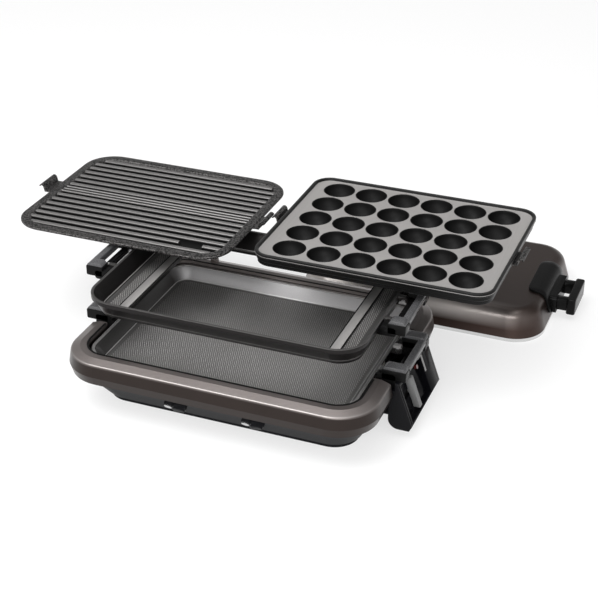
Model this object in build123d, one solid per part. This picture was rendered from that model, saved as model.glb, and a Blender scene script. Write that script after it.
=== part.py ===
from build123d import *
import math
import os

# A table-top hotplate with lift-off pans: a plain griddle in the heated body, a deep pan frame
# above it, a ribbed grill plate and a ball-cup plate resting on the frame's handles, and a lid.
# Millimetres, +Z up, the front towards -Y. The origin is on the table under the body's middle.

# ---------------------------------------------------------------- driving dimensions
RUN = 0.3                # running clearance between pieces that part or move
SHEET = 2.0              # pressed sheet of the guard and the lid

# griddle, whose plan size sets the body's and the frame's
GRIDDLE_W, GRIDDLE_D, GRIDDLE_R = 313.0, 234.0, 26.0
GRIDDLE_RIM_Z = 68.0
GRIDDLE_DEPTH = 15.0
GRIDDLE_FLOOR = 4.0
GRIDDLE_FLANGE = 3.0
GRIDDLE_RIM = 3.5        # width of the flat rim
GRIDDLE_INSET = 13.0     # rim edge to the floor's edge

# heated body, from the griddle outwards
MOUTH_GAP_X, MOUTH_GAP_Y = 3.5, 1.0         # between the griddle's rim and the guard
MOUTH_W, MOUTH_D = GRIDDLE_W + 2 * MOUTH_GAP_X, GRIDDLE_D + 2 * MOUTH_GAP_Y
MOUTH_R = GRIDDLE_R + MOUTH_GAP_Y
MOUTH_DROP = 14.0        # depth of the collar round the mouth
GUARD_BAND = 22.0        # width of the guard's flat top
GUARD_W, GUARD_D = MOUTH_W + 2 * GUARD_BAND, MOUTH_D + 2 * GUARD_BAND
GUARD_R = 48.0
GUARD_LIP_Z = 44.5
GUARD_BELT_Z = 55.0      # height of the widest line
GUARD_SHOULDER_Z = 69.0  # crease between the leaning side and the crowned top
GUARD_TOP_Z = 72.5
GUARD_LEAN, GUARD_CROWN = 2.5, 13.0         # insets of the crease and of the flat round the mouth
GUARD_CREASE = 2.5       # rounding of the crease
GUARD_TUCK = 6.0         # how much narrower the lip is than the belt
BAY_HALF = 54.0          # half width of the bays where the griddle's handles pass
BAY_SILL_Z = 56.0        # the left bay keeps a strip of guard up to here

TRAY_INSET = 7.0         # from the guard's belt in to the tray's top edge
TRAY_TOP_W, TRAY_TOP_D = GUARD_W - 2 * TRAY_INSET, GUARD_D - 2 * TRAY_INSET
TRAY_TOP_R = GUARD_R - 4.0
TRAY_LEAN_X, TRAY_LEAN_Y = 22.0, 35.0       # how far each wall leans in from its top to its foot
TRAY_FOOT_W, TRAY_FOOT_D = TRAY_TOP_W - 2 * TRAY_LEAN_X, TRAY_TOP_D - 2 * TRAY_LEAN_Y
TRAY_FOOT_R = 32.0
TRAY_TOP_Z = 50.0
TRAY_FOOT_Z = 6.0
TRAY_WALL = 2.5
STAND_INSET = 4.0        # the stand rim stands this far inside the tray's foot
STAND_WALL = 5.0

# heater
HEATER_DIA = 7.0
HEATER_Z = 45.0
HEATER_EDGE_X, HEATER_EDGE_Y = 32.5, 31.0   # from the griddle's rim in to the outer runs
HEATER_RUN_X, HEATER_RUN_Y = GRIDDLE_W / 2 - HEATER_EDGE_X, GRIDDLE_D / 2 - HEATER_EDGE_Y
HEATER_TURN_ROOM = 40.0  # from the outer runs in to the inner turn
HEATER_INNER_X = HEATER_RUN_X - HEATER_TURN_ROOM
HEATER_INNER_Y = 29.0
HEATER_TAIL_Y = 12.0
HEATER_BEND = 18.0
HEATER_TAIL_BEND = 6.0
CRADLE_X = 62.0          # cradles stand this far to each side of the middle
CRADLE_LENGTH, CRADLE_WIDTH, CRADLE_SHEET = 10.0, 12.0, 2.0
SHIELD_W, SHIELD_D, SHIELD_R = GRIDDLE_W - GRIDDLE_INSET, GRIDDLE_D - 2 * GRIDDLE_INSET, 30.0
SHIELD_Z = 30.0
SHIELD_SHEET = 1.2
SHIELD_LIP = 5.0
SHIELD_POST_X, SHIELD_POST_Y = 100.0, 56.0
PAN_POST_X, PAN_POST_Y = GRIDDLE_W / 2 - 18.5, 62.0
POST_DIA = 10.0
TERMINAL_LENGTH, TERMINAL_WIDTH, TERMINAL_TOP_Z = 14.0, 44.0, 48.0
SENSOR_HEAD_DIA, SENSOR_STEM_DIA = 18.0, 9.0
SENSOR_TRAVEL = 2.0
SCREW_DIA = 4.0

# control housing on the right end
HOUSING_Y0, HOUSING_Y1 = -46.0, 57.0
HOUSING_X0 = TRAY_TOP_W / 2 + 0.5           # face towards the body
HOUSING_BOTTOM_Z = 9.0
HOUSING_STEP_Z = 56.0    # low part under the griddle's handle
HOUSING_STEP = 6.5
HOUSING_STEP_X = HOUSING_X0 + HOUSING_STEP
HOUSING_TOP_Z = 66.0
HOUSING_RIDGE = 3.0      # width of the ridge at the top
HOUSING_REACH = 27.5     # from the body out to the knee
HOUSING_KNEE_X, HOUSING_KNEE_Z = HOUSING_X0 + HOUSING_REACH, 15.0
HOUSING_TOE_X = HOUSING_KNEE_X - 3.0
HOUSING_EDGE = 1.2       # rounding of the front cap's outline
HOUSING_CORNER = 12.0
HOUSING_CAP = 2.5        # thickness of the front cap
POCKET_DEPTH = 6.0       # recess of the lever, square to the sloping side
POCKET_Y0, POCKET_Y1 = -41.0, 27.0
POCKET_Z0, POCKET_Z1 = 17.0, 60.0
LEVER_Y, LEVER_WIDTH = -12.0, 8.0
LEVER_Z0, LEVER_Z1 = 21.0, 56.0
LEVER_OUT, LEVER_BACK = 18.0, 12.0     # travel to the front and to the back
PILOT_Y, PILOT_Z, PILOT_DIA = 18.0, 50.0, 5.0
INLET_WIDTH, INLET_HEIGHT, INLET_DEPTH = 11.0, 30.0, 14.0
INLET_PIN_DIA, INLET_PIN_PITCH, INLET_PIN_LENGTH = 4.0, 15.0, 11.0
NECK_Y0, NECK_Y1 = -34.0, 46.0
NECK_Z0, NECK_Z1 = 16.0, 38.0

# front latches, each in a plane parallel to the tray's sloping front wall
LATCH_X = 46.0
LATCH_Z = 29.0           # height of the pivot on the wall
LATCH_REACH = 20.0
LATCH_THICK = 4.0
LATCH_PIVOT_DX = -7.0    # pivot to the left of the latch's place
LATCH_PIN_DIA, LATCH_PIN_HEAD = 5.0, 9.0
LATCH_PAD_W, LATCH_PAD_H, LATCH_PAD_OUT = 12.0, 9.0, 2.0

# pan frame
FRAME_X, FRAME_Y = -3.0, 8.25
FRAME_W, FRAME_D, FRAME_R = GRIDDLE_W + 10.0, GRIDDLE_D - 12.5, 35.0
FRAME_RIM_Z = 128.0
FRAME_FLANGE = 5.0
FRAME_RIM = 3.0
FRAME_FOOT_Z = 104.0
FRAME_FLOOR_Z = 108.0
FRAME_WINDOW_HALF = 118.0
FRAME_STRIP = 12.5
FRAME_STEP = 1.2
FRAME_TAPER_X, FRAME_TAPER_Y = 8.0, 13.0

# ball-cup plate
CUP_PLATE_X, CUP_PLATE_Y = 126.7, 124.9
CUP_PLATE_W, CUP_PLATE_D, CUP_PLATE_R = 278.0, 224.0, 22.0
CUP_RIM_Z = 158.0
CUP_RIM = 3.0
CUP_WEB_DROP = 3.0
CUP_COLUMNS, CUP_ROWS = 6, 5
CUP_PITCH = 41.1
CUP_DIA = 36.6
CUP_WALL = 2.4
CUP_ROW_SHIFT = 2.3      # the rows sit this much further back than the rim's middle
CUP_SKIRT = 15.0
CUP_SKIRT_TAPER = 3.0
CUP_SKIRT_STEPS = 3      # the skirt narrows in this many steps

# ribbed plate
RIB_PLATE_X, RIB_PLATE_Y = -184.3, 121.9
RIB_PLATE_W, RIB_PLATE_D, RIB_PLATE_R = 274.0, 224.6, 38.0
RIB_TOP_Z = 140.3
RIB_FLANGE = 3.0
RIB_RIM = 12.0
RIB_FLOOR = 2.0
RIB_WIDE_PITCH = 12.9
RIB_NARROW_PITCH = 6.45
RIB_WIDE_COUNT, RIB_NARROW_COUNT = 7, 3
RIB_FILL = 0.5           # share of the pitch that is rib
DRAIN_LENGTH, DRAIN_AT = 22.0, 28.0

# lid
LID_X, LID_Y = 128.0, 297.0
LID_W, LID_D, LID_R = FRAME_W - 7.0, FRAME_D - 7.5, 40.0
LID_HEIGHT = 38.0
LID_CROWN_INSET = 9.0
LID_ROUND = 14.0
LID_TRIM = 5.0
LID_HANDLE_HALF = 33.0
LID_PLATE_Z0, LID_PLATE_Z1, LID_PLATE_OUT = 8.0, 31.0, 5.0
LID_PLATE_SEAT = 10.0    # how far the plate starts inside the lid's edge, before the lid is cut from it
LID_PLATE_ROUND = 5.0
LID_ARM_Z0, LID_ARM_Z1, LID_ARM_OUT, LID_ARM_WIDTH, LID_ARM_INSET = 12.0, 27.0, 17.0, 10.0, 6.0
LID_BAR_Z0, LID_BAR_Z1, LID_BAR_WIDTH = 9.0, 30.0, 11.0

# handles of the griddle and of the frame
HANDLE_HALF = 43.0
GRIP_HEIGHT = 8.0
ARM_WIDTH = 15.0
ARM_GAP = 6.0            # from the pan's edge to the grip's arms
ARM_DRUM = 6.5           # rounding of an arm's end towards the pan
GRIP_ROUND = 2.5
BAR_WIDTH = 13.0
BRIDGE_WIDTH = 7.0
PIN_DIA, PIN_OUT, PIN_UP = 5.0, 6.0, 7.0    # a pin's place from the pan's edge and the handle's foot
LUG_THICK = 6.0
RIM_ROOM = 4.0           # space left round the griddle's rim for the frame's wall
GRIDDLE_BLOCK_REACH, GRIDDLE_BAR_REACH = 24.5, 36.0
GRIDDLE_HANDLE_Z, GRIDDLE_GRIP_Z = 57.5, 73.7
FRAME_BLOCK_REACH, FRAME_BAR_REACH = 18.0, 29.0
FRAME_HANDLE_Z, FRAME_GRIP_Z = 115.7, 126.0

# lifting tabs of the two small plates
TAB_LEAD, TAB_RISE, TAB_ROLL, TAB_SHEET = 7.0, 6.0, 2.8, 1.6
TAB_WIDTH = 32.0
CUP_TAB_DROP = 9.0       # from the cup plate's rim down to its tabs
TAB_CURL = 150           # degrees that the tip rolls through


# ---------------------------------------------------------------- helpers
def section(width, depth, radius, z, at=(0, 0)):
    """A rounded rectangle lying level at height z."""
    return (Pos(at[0], at[1], z) * RectangleRounded(width, depth, radius)).face()


def slab(width, depth, radius, z0, z1, at=(0, 0)):
    return extrude(section(width, depth, radius, z0, at), z1 - z0)


def taper(low, high, at=(0, 0)):
    """A solid between two rounded rectangles, each (width, depth, radius, z)."""
    return loft([section(*low, at), section(*high, at)], ruled=True)


def block(x0, x1, y0, y1, z0, z1):
    size = (x1 - x0, y1 - y0, z1 - z0)
    return Pos((x0 + x1) / 2, (y0 + y1) / 2, (z0 + z1) / 2) * Box(*size)


def rod_z(x, y, z0, z1, dia):
    return Pos(x, y, (z0 + z1) / 2) * Cylinder(dia / 2, z1 - z0)


def rod_y(x, z, y0, y1, dia):
    return Pos(x, (y0 + y1) / 2, z) * Rot(90, 0, 0) * Cylinder(dia / 2, y1 - y0)


def rod_x(y, z, x0, x1, dia):
    return Pos((x0 + x1) / 2, y, z) * Rot(0, 90, 0) * Cylinder(dia / 2, x1 - x0)


def prism_y(points, y0, y1, corner=0.0, corners=()):
    """A profile of (x, z) points carried along Y, some of its corners rounded."""
    face = make_face(Polyline(*points, close=True))
    if corner:
        picked = [v for v in face.vertices() if any(math.dist((v.X, v.Y), c) < 0.01 for c in corners)]
        face = fillet(picked, corner)
    return Pos(0, y0, 0) * extrude(Plane.XZ * face, -(y1 - y0))


def top_edges(solid):
    return solid.edges().group_by(Axis.Z)[-1]


def bottom_edges(solid):
    return solid.edges().group_by(Axis.Z)[0]


def save(name, solid):
    export_step(solid, os.path.join("parts", name + ".step"))


def group(solids):
    return Compound(children=[s if isinstance(s, Solid) else s.solid() for s in solids])


# ---------------------------------------------------------------- heated body
def tray_outer():
    return taper((TRAY_FOOT_W, TRAY_FOOT_D, TRAY_FOOT_R, TRAY_FOOT_Z),
                 (TRAY_TOP_W, TRAY_TOP_D, TRAY_TOP_R, TRAY_TOP_Z))


TRAY_FLOOR_Z = TRAY_FOOT_Z + TRAY_WALL


def tray():
    wall = TRAY_WALL
    inner = taper((TRAY_FOOT_W - 2 * wall, TRAY_FOOT_D - 2 * wall, TRAY_FOOT_R - wall, TRAY_FLOOR_Z),
                  (TRAY_TOP_W - 2 * wall, TRAY_TOP_D - 2 * wall, TRAY_TOP_R - wall, TRAY_TOP_Z + 0.01))
    body = tray_outer() - inner
    stand_w, stand_d = TRAY_FOOT_W - 2 * STAND_INSET, TRAY_FOOT_D - 2 * STAND_INSET
    stand_r = TRAY_FOOT_R - STAND_INSET
    rim = slab(stand_w, stand_d, stand_r, 0, TRAY_FOOT_Z + 0.5)
    rim -= slab(stand_w - 2 * STAND_WALL, stand_d - 2 * STAND_WALL, stand_r - STAND_WALL, -1, TRAY_FOOT_Z)
    body += rim
    for x in (-SHIELD_POST_X, SHIELD_POST_X):
        for y in (-SHIELD_POST_Y, SHIELD_POST_Y):
            body += rod_z(x, y, TRAY_FLOOR_Z - 0.5, SHIELD_Z, POST_DIA)
            body -= rod_z(x, y, TRAY_FLOOR_Z + 4, SHIELD_Z + 1, SCREW_DIA)
    for x in (-PAN_POST_X, PAN_POST_X):
        for y in (-PAN_POST_Y, PAN_POST_Y):
            body += rod_z(x, y, TRAY_FLOOR_Z - 0.5, GRIDDLE_BOTTOM_Z - RUN, POST_DIA)
    for x in (-LATCH_X, LATCH_X):
        body -= latch_place(x) * Cylinder(LATCH_PIN_DIA / 2, 4 * TRAY_WALL)
    return body


def latch_place(x):
    """Frame on the outside of the front wall: X to the right, Y up the slope, Z outwards."""
    run, rise = (TRAY_TOP_D - TRAY_FOOT_D) / 2, TRAY_TOP_Z - TRAY_FOOT_Z
    y = -TRAY_FOOT_D / 2 - run * (LATCH_Z - TRAY_FOOT_Z) / rise
    outward = Vector(0, -rise, -run).normalized()
    return Plane(origin=(x + LATCH_PIVOT_DX, y, LATCH_Z), x_dir=(1, 0, 0), z_dir=outward).location


def latch(x):
    """A quarter-disc lever that turns on the wall, with a thumb pad over its pivot."""
    z0, z1, ear = RUN, RUN + LATCH_THICK, LATCH_PIN_HEAD / 2 + 1
    quarter = rod_z(0, 0, z0, z1, 2 * LATCH_REACH) & block(0, LATCH_REACH, -LATCH_REACH, 0, z0, z1)
    hub = rod_z(0, 0, z0, z1, 2 * ear)
    pad = block(ear, ear + LATCH_PAD_W, -LATCH_PAD_H, 0, z1 - 0.5, z1 + LATCH_PAD_OUT)
    pad = fillet(pad.edges().filter_by(Axis.Z), 2)
    lever = quarter + hub + pad - rod_z(0, 0, z0 - 1, z1 + 5, LATCH_PIN_DIA + 2 * RUN)
    return latch_place(x) * lever


def latch_pin(x):
    z1 = 2 * RUN + LATCH_THICK
    pin = rod_z(0, 0, -TRAY_WALL, z1 + 0.1, LATCH_PIN_DIA) + rod_z(0, 0, z1, z1 + 1.5, LATCH_PIN_HEAD)
    return latch_place(x) * pin


def guard_form(inset):
    """The guard's outer form, or its hollow when inset by the sheet."""
    def level(pulled_in, z):
        both = 2 * (inset + pulled_in)
        return (GUARD_W - both, GUARD_D - both, GUARD_R - inset - pulled_in, z)

    foot = GUARD_LIP_Z - (SHEET if inset else 0)
    belt = level(0, GUARD_BELT_Z)
    crease = level(GUARD_LEAN, GUARD_SHOULDER_Z - inset)
    form = taper(belt, crease) + taper(crease, level(GUARD_CROWN, GUARD_TOP_Z - inset))
    creases = [edge for edge in form.edges() if abs(edge.center().Z - crease[3]) < RUN]
    form = fillet(creases, GUARD_CREASE - (SHEET if inset else 0) / 2)
    return form + taper(level(GUARD_TUCK / 2, foot), belt)


def guard():
    outer = guard_form(0)
    mouth = slab(MOUTH_W, MOUTH_D, MOUTH_R, 0, GUARD_TOP_Z + 10)
    collar = slab(MOUTH_W + 2 * SHEET, MOUTH_D + 2 * SHEET, MOUTH_R + SHEET,
                  GUARD_TOP_Z - MOUTH_DROP, GUARD_TOP_Z - SHEET / 2)
    shell = (outer - guard_form(SHEET) + collar) - mouth
    far = GUARD_W
    for side, y0, y1, z0 in ((1, -BAY_HALF, BAY_HALF + 5.5, 0), (-1, -BAY_HALF, BAY_HALF, BAY_SILL_Z)):
        x0, x1 = sorted((side * (MOUTH_W / 2 - 12), side * far))
        shell -= block(x0, x1, y0, y1, z0, GUARD_TOP_Z + 10)
        for wall_y0 in (y0 - SHEET, y1):
            wall = block(x0, x1, wall_y0, wall_y0 + SHEET, GUARD_LIP_Z, GUARD_TOP_Z)
            wall = (wall & outer) - mouth
            shell += wall - tray_outer()
    return shell


GRIDDLE_BOTTOM_Z = GRIDDLE_RIM_Z - GRIDDLE_DEPTH - GRIDDLE_FLOOR


def heat_shield():
    shield = slab(SHIELD_W, SHIELD_D, SHIELD_R, SHIELD_Z, SHIELD_Z + SHIELD_LIP)
    t = SHIELD_SHEET
    clear = SHIELD_Z + 2 * SHIELD_LIP
    shield -= slab(SHIELD_W - 2 * t, SHIELD_D - 2 * t, SHIELD_R - t, SHIELD_Z + t, clear)
    for x in (-PAN_POST_X, PAN_POST_X):
        for y in (-PAN_POST_Y, PAN_POST_Y):
            shield -= rod_z(x, y, SHIELD_Z - 1, clear, POST_DIA + 4)
    for x in (-SHIELD_POST_X, SHIELD_POST_X):
        for y in (-SHIELD_POST_Y, SHIELD_POST_Y):
            shield -= rod_z(x, y, SHIELD_Z - 1, clear, SCREW_DIA)
    return shield


SHIELD_TOP_Z = SHIELD_Z + SHIELD_SHEET
TERMINAL_X0 = SHIELD_W / 2 - SHIELD_SHEET - TERMINAL_LENGTH


def heater():
    rx, ry, ix, iy, ty = HEATER_RUN_X, HEATER_RUN_Y, HEATER_INNER_X, HEATER_INNER_Y, HEATER_TAIL_Y
    route = [(TERMINAL_X0 + 4, -ty), (rx, -ty), (rx, -ry), (-rx, -ry), (-rx, -iy), (ix, -iy),
             (ix, iy), (-rx, iy), (-rx, ry), (rx, ry), (rx, ty), (TERMINAL_X0 + 4, ty)]
    bends = [HEATER_TAIL_BEND] + [HEATER_BEND] * 8 + [HEATER_TAIL_BEND]
    path = FilletPolyline(*[(x, y, HEATER_Z) for x, y in route], radius=bends)
    start = Plane(origin=path @ 0, z_dir=path % 0)
    return sweep(start * Circle(HEATER_DIA / 2), path=path)


def heater_cradles():
    """Small bridges that hold the tube in a half-round seat, open underneath."""
    low, seat = SHIELD_TOP_Z, HEATER_Z - HEATER_DIA / 2
    half, width = CRADLE_LENGTH / 2, CRADLE_WIDTH / 2
    spots = [(x, y) for y in (-HEATER_RUN_Y, HEATER_RUN_Y) for x in (-CRADLE_X, CRADLE_X)]
    spots += [(-CRADLE_X, -HEATER_INNER_Y), (-CRADLE_X, HEATER_INNER_Y)]
    for x, y in spots:
        cradle = block(x - half, x + half, y - width, y + width, low, HEATER_Z)
        cradle -= block(x - half - 1, x + half + 1, y - width + CRADLE_SHEET, y + width - CRADLE_SHEET,
                        low + CRADLE_SHEET, seat - CRADLE_SHEET)
        yield cradle - rod_x(y, HEATER_Z, x - half - 1, x + half + 1, HEATER_DIA)


def terminal_block(tube):
    half = TERMINAL_WIDTH / 2
    body = block(TERMINAL_X0, TERMINAL_X0 + TERMINAL_LENGTH, -half, half, SHIELD_TOP_Z, TERMINAL_TOP_Z)
    body = fillet(body.edges().filter_by(Axis.Z), 2)
    return body - tube


def sensor_guide():
    tube = rod_z(0, 0, SHIELD_TOP_Z, GRIDDLE_BOTTOM_Z - 6, SENSOR_STEM_DIA + 4)
    return tube - rod_z(0, 0, SHIELD_TOP_Z - 1, GRIDDLE_BOTTOM_Z, SENSOR_STEM_DIA + 2 * RUN)


def sensor():
    top = GRIDDLE_BOTTOM_Z - RUN
    head = rod_z(0, 0, top - 3, top, SENSOR_HEAD_DIA)
    head = fillet(head.edges().group_by(Axis.Z)[-1], 1)
    return head + rod_z(0, 0, SHIELD_TOP_Z + SENSOR_TRAVEL + 1, top - 2.9, SENSOR_STEM_DIA)


# ---------------------------------------------------------------- control housing
SLOPE_TOP = (HOUSING_STEP_X + HOUSING_RIDGE, HOUSING_TOP_Z)
SLOPE_FOOT = (HOUSING_KNEE_X, HOUSING_KNEE_Z)
SLOPE_ANGLE = math.atan2(SLOPE_FOOT[0] - SLOPE_TOP[0], SLOPE_TOP[1] - SLOPE_FOOT[1])


def slope_point(z, depth):
    """The (x, z) at height z on the line that lies this deep inside the sloping side."""
    x = SLOPE_TOP[0] + (SLOPE_TOP[1] - z) * math.tan(SLOPE_ANGLE)
    return (x - depth / math.cos(SLOPE_ANGLE), z)


def housing_profile():
    return [(HOUSING_X0, HOUSING_BOTTOM_Z), (HOUSING_TOE_X, HOUSING_BOTTOM_Z), SLOPE_FOOT, SLOPE_TOP,
            (HOUSING_STEP_X, HOUSING_TOP_Z), (HOUSING_STEP_X, HOUSING_STEP_Z), (HOUSING_X0, HOUSING_STEP_Z)]


THERMOSTAT_Y0, THERMOSTAT_Y1 = -36.0, 26.0
THERMOSTAT_X0 = HOUSING_X0 + 2.5
THERMOSTAT_Z0, THERMOSTAT_Z1 = 18.0, 46.0


def thermostat_profile(gap):
    back = POCKET_DEPTH + 2 + gap
    low, high = THERMOSTAT_Z0 + gap, THERMOSTAT_Z1 - gap
    return [(THERMOSTAT_X0, low), slope_point(low, back), slope_point(high, back), (THERMOSTAT_X0, high)]


def control_housing():
    body = prism_y(housing_profile(), HOUSING_Y0, HOUSING_Y1, HOUSING_CORNER,
                   [(HOUSING_X0, HOUSING_BOTTOM_Z)])
    pocket = [slope_point(POCKET_Z0, POCKET_DEPTH), slope_point(POCKET_Z0, -5),
              slope_point(POCKET_Z1, -5), slope_point(POCKET_Z1, POCKET_DEPTH)]
    body -= prism_y(pocket, POCKET_Y0, POCKET_Y1)
    body -= prism_y(thermostat_profile(0), THERMOSTAT_Y0, THERMOSTAT_Y1)
    mid = (LEVER_Z0 + LEVER_Z1) / 2
    slot = [slope_point(mid - 3, POCKET_DEPTH + 4), slope_point(mid - 3, POCKET_DEPTH - 2),
            slope_point(mid + 3, POCKET_DEPTH - 2), slope_point(mid + 3, POCKET_DEPTH + 4)]
    body -= prism_y(slot, LEVER_Y - LEVER_OUT - 4, LEVER_Y + LEVER_BACK + 4)
    body -= inlet_socket()
    neck = block(TRAY_FOOT_W / 2, HOUSING_X0 + 0.5, NECK_Y0, NECK_Y1, NECK_Z0, NECK_Z1)
    body += neck - tray_outer()
    return body


INLET_X = HOUSING_X0 + 4 + INLET_WIDTH / 2
INLET_Z = 29.0


def inlet_socket():
    return block(INLET_X - INLET_WIDTH / 2, INLET_X + INLET_WIDTH / 2, HOUSING_Y1 - INLET_DEPTH,
                 HOUSING_Y1 + 1, INLET_Z - INLET_HEIGHT / 2, INLET_Z + INLET_HEIGHT / 2)


def inlet_pins():
    back = HOUSING_Y1 - INLET_DEPTH
    return [rod_y(INLET_X, INLET_Z + dz, back, back + INLET_PIN_LENGTH, INLET_PIN_DIA)
            for dz in (-INLET_PIN_PITCH / 2, INLET_PIN_PITCH / 2)]


def housing_cap():
    cap = prism_y(housing_profile(), HOUSING_Y0 - HOUSING_CAP, HOUSING_Y0, HOUSING_CORNER,
                  [(HOUSING_X0, HOUSING_BOTTOM_Z)])
    return fillet(cap.edges().group_by(Axis.Y)[0], HOUSING_EDGE)


def lever():
    y0, y1 = LEVER_Y - LEVER_WIDTH / 2, LEVER_Y + LEVER_WIDTH / 2
    near, out = POCKET_DEPTH - RUN, -1.5
    blade = prism_y([slope_point(LEVER_Z0, near), slope_point(LEVER_Z0, out),
                     slope_point(LEVER_Z1, out), slope_point(LEVER_Z1, near)], y0, y1)
    mid = (LEVER_Z0 + LEVER_Z1) / 2
    stem = prism_y([slope_point(mid - 2, POCKET_DEPTH + 2), slope_point(mid - 2, near - 1),
                    slope_point(mid + 2, near - 1), slope_point(mid + 2, POCKET_DEPTH + 2)],
                   LEVER_Y - 2, LEVER_Y + 2)
    return blade + stem


def pilot():
    x, z = slope_point(PILOT_Z, POCKET_DEPTH)
    lens = Rot(0, 90 - math.degrees(SLOPE_ANGLE), 0) * Pos(0, 0, 1.5) * Cylinder(PILOT_DIA / 2, 3)
    return Pos(x, PILOT_Y, z) * lens


# ---------------------------------------------------------------- pans
def griddle_outer():
    flange = slab(GRIDDLE_W, GRIDDLE_D, GRIDDLE_R, GRIDDLE_RIM_Z - GRIDDLE_FLANGE, GRIDDLE_RIM_Z)
    wall = taper((GRIDDLE_W - 2 * GRIDDLE_INSET + 4, GRIDDLE_D - 2 * GRIDDLE_INSET + 4,
                  GRIDDLE_R - GRIDDLE_INSET + 4, GRIDDLE_BOTTOM_Z),
                 (GRIDDLE_W - 5, GRIDDLE_D - 5, GRIDDLE_R - 2.5, GRIDDLE_RIM_Z - GRIDDLE_FLANGE))
    return flange + wall


def griddle():
    rim = 2 * GRIDDLE_RIM
    floor = 2 * GRIDDLE_INSET
    floor_z = GRIDDLE_RIM_Z - GRIDDLE_DEPTH
    step_z, step_r = GRIDDLE_RIM_Z - 1, GRIDDLE_R - GRIDDLE_RIM
    cavity = taper((GRIDDLE_W - floor, GRIDDLE_D - floor, GRIDDLE_R - GRIDDLE_INSET + 2, floor_z),
                   (GRIDDLE_W - rim - 2, GRIDDLE_D - rim - 2, step_r - 1, step_z))
    cavity = fillet(bottom_edges(cavity), 4)
    step = slab(GRIDDLE_W - rim, GRIDDLE_D - rim, step_r, step_z, GRIDDLE_RIM_Z + 1)
    return griddle_outer() - cavity - step


def frame_outer():
    at = (FRAME_X, FRAME_Y)
    band = slab(FRAME_W, FRAME_D, FRAME_R, FRAME_RIM_Z - FRAME_FLANGE, FRAME_RIM_Z, at)
    wall = taper((FRAME_W - 2 * FRAME_TAPER_X, FRAME_D - 2 * FRAME_TAPER_Y, FRAME_R - FRAME_TAPER_X,
                  FRAME_FOOT_Z),
                 (FRAME_W - 4, FRAME_D - 4, FRAME_R - 2, FRAME_RIM_Z - FRAME_FLANGE), at)
    return band + wall


def pan_frame():
    at = (FRAME_X, FRAME_Y)
    rim, wall = 2 * FRAME_RIM, 3.0
    low_w = FRAME_W - 2 * (FRAME_TAPER_X + wall)
    low_d = FRAME_D - 2 * (FRAME_TAPER_Y + wall)
    low_r = FRAME_R - FRAME_TAPER_X - wall
    cavity = taper((low_w, low_d, low_r, FRAME_FLOOR_Z),
                   (FRAME_W - rim, FRAME_D - rim, FRAME_R - FRAME_RIM, FRAME_RIM_Z + 0.01), at)
    cavity = fillet(bottom_edges(cavity), 5)
    frame = frame_outer() - cavity
    for side in (-1, 1):
        strip_in = FRAME_X + side * FRAME_WINDOW_HALF
        strip_out = FRAME_X + side * (FRAME_WINDOW_HALF + FRAME_STRIP)
        x0, x1 = sorted((strip_in, strip_out))
        strip = block(x0, x1, FRAME_Y - low_d / 2, FRAME_Y + low_d / 2, FRAME_FLOOR_Z - 1,
                      FRAME_FLOOR_Z + FRAME_STEP)
        frame += strip
    frame -= block(FRAME_X - FRAME_WINDOW_HALF, FRAME_X + FRAME_WINDOW_HALF,
                   FRAME_Y - low_d / 2, FRAME_Y + low_d / 2, FRAME_FOOT_Z - 1, FRAME_RIM_Z - 2)
    return frame


def cup_spots():
    for row in range(CUP_ROWS):
        for column in range(CUP_COLUMNS):
            yield (CUP_PLATE_X + (column - (CUP_COLUMNS - 1) / 2) * CUP_PITCH,
                   CUP_PLATE_Y + CUP_ROW_SHIFT + (row - (CUP_ROWS - 1) / 2) * CUP_PITCH)


CUP_WEB_Z = CUP_RIM_Z - CUP_WEB_DROP


def cup_plate_outer():
    """Stacked bands that step in from the rim down to the skirt's foot."""
    at = (CUP_PLATE_X, CUP_PLATE_Y)
    band = CUP_SKIRT / CUP_SKIRT_STEPS
    bands = []
    for number in range(CUP_SKIRT_STEPS):
        inset = CUP_SKIRT_TAPER * number / (CUP_SKIRT_STEPS - 1)
        top = CUP_RIM_Z - band * number
        bands.append(slab(CUP_PLATE_W - 2 * inset, CUP_PLATE_D - 2 * inset, CUP_PLATE_R - inset,
                          top - band, top, at))
    return bands[0].fuse(*bands[1:])


def cup_plate():
    at = (CUP_PLATE_X, CUP_PLATE_Y)
    t, low = CUP_WALL, CUP_SKIRT_TAPER + CUP_WALL
    hollow = taper((CUP_PLATE_W - 2 * low, CUP_PLATE_D - 2 * low, CUP_PLATE_R - low,
                    CUP_RIM_Z - CUP_SKIRT - 0.01),
                   (CUP_PLATE_W - 2 * t - 2, CUP_PLATE_D - 2 * t - 2, CUP_PLATE_R - t - 1, CUP_WEB_Z - t), at)
    well = slab(CUP_PLATE_W - 2 * CUP_RIM, CUP_PLATE_D - 2 * CUP_RIM, CUP_PLATE_R - CUP_RIM,
                CUP_WEB_Z, CUP_RIM_Z + 1, at)
    plate = cup_plate_outer() - hollow - well
    outer_r, inner_r = CUP_DIA / 2 + CUP_WALL, CUP_DIA / 2
    bowl = Sphere(outer_r) & block(-outer_r, outer_r, -outer_r, outer_r, -outer_r, -t / 2)
    hollow_bowl = Sphere(inner_r)
    spots = list(cup_spots())
    plate = plate.fuse(*[Pos(x, y, CUP_WEB_Z) * bowl for x, y in spots])
    return plate.cut(*[Pos(x, y, CUP_WEB_Z) * hollow_bowl for x, y in spots])


def rib_rows():
    """Middle line and width of each rib, front to back."""
    wide, narrow = RIB_WIDE_PITCH, RIB_NARROW_PITCH
    pitches = [wide] * RIB_WIDE_COUNT + [narrow] * RIB_NARROW_COUNT + [wide] * RIB_WIDE_COUNT
    y = RIB_PLATE_Y - sum(pitches) / 2
    for pitch in pitches:
        yield y + pitch / 2, pitch * RIB_FILL
        y += pitch


RIB_REST_Z = FRAME_GRIP_Z + GRIP_HEIGHT


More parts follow.
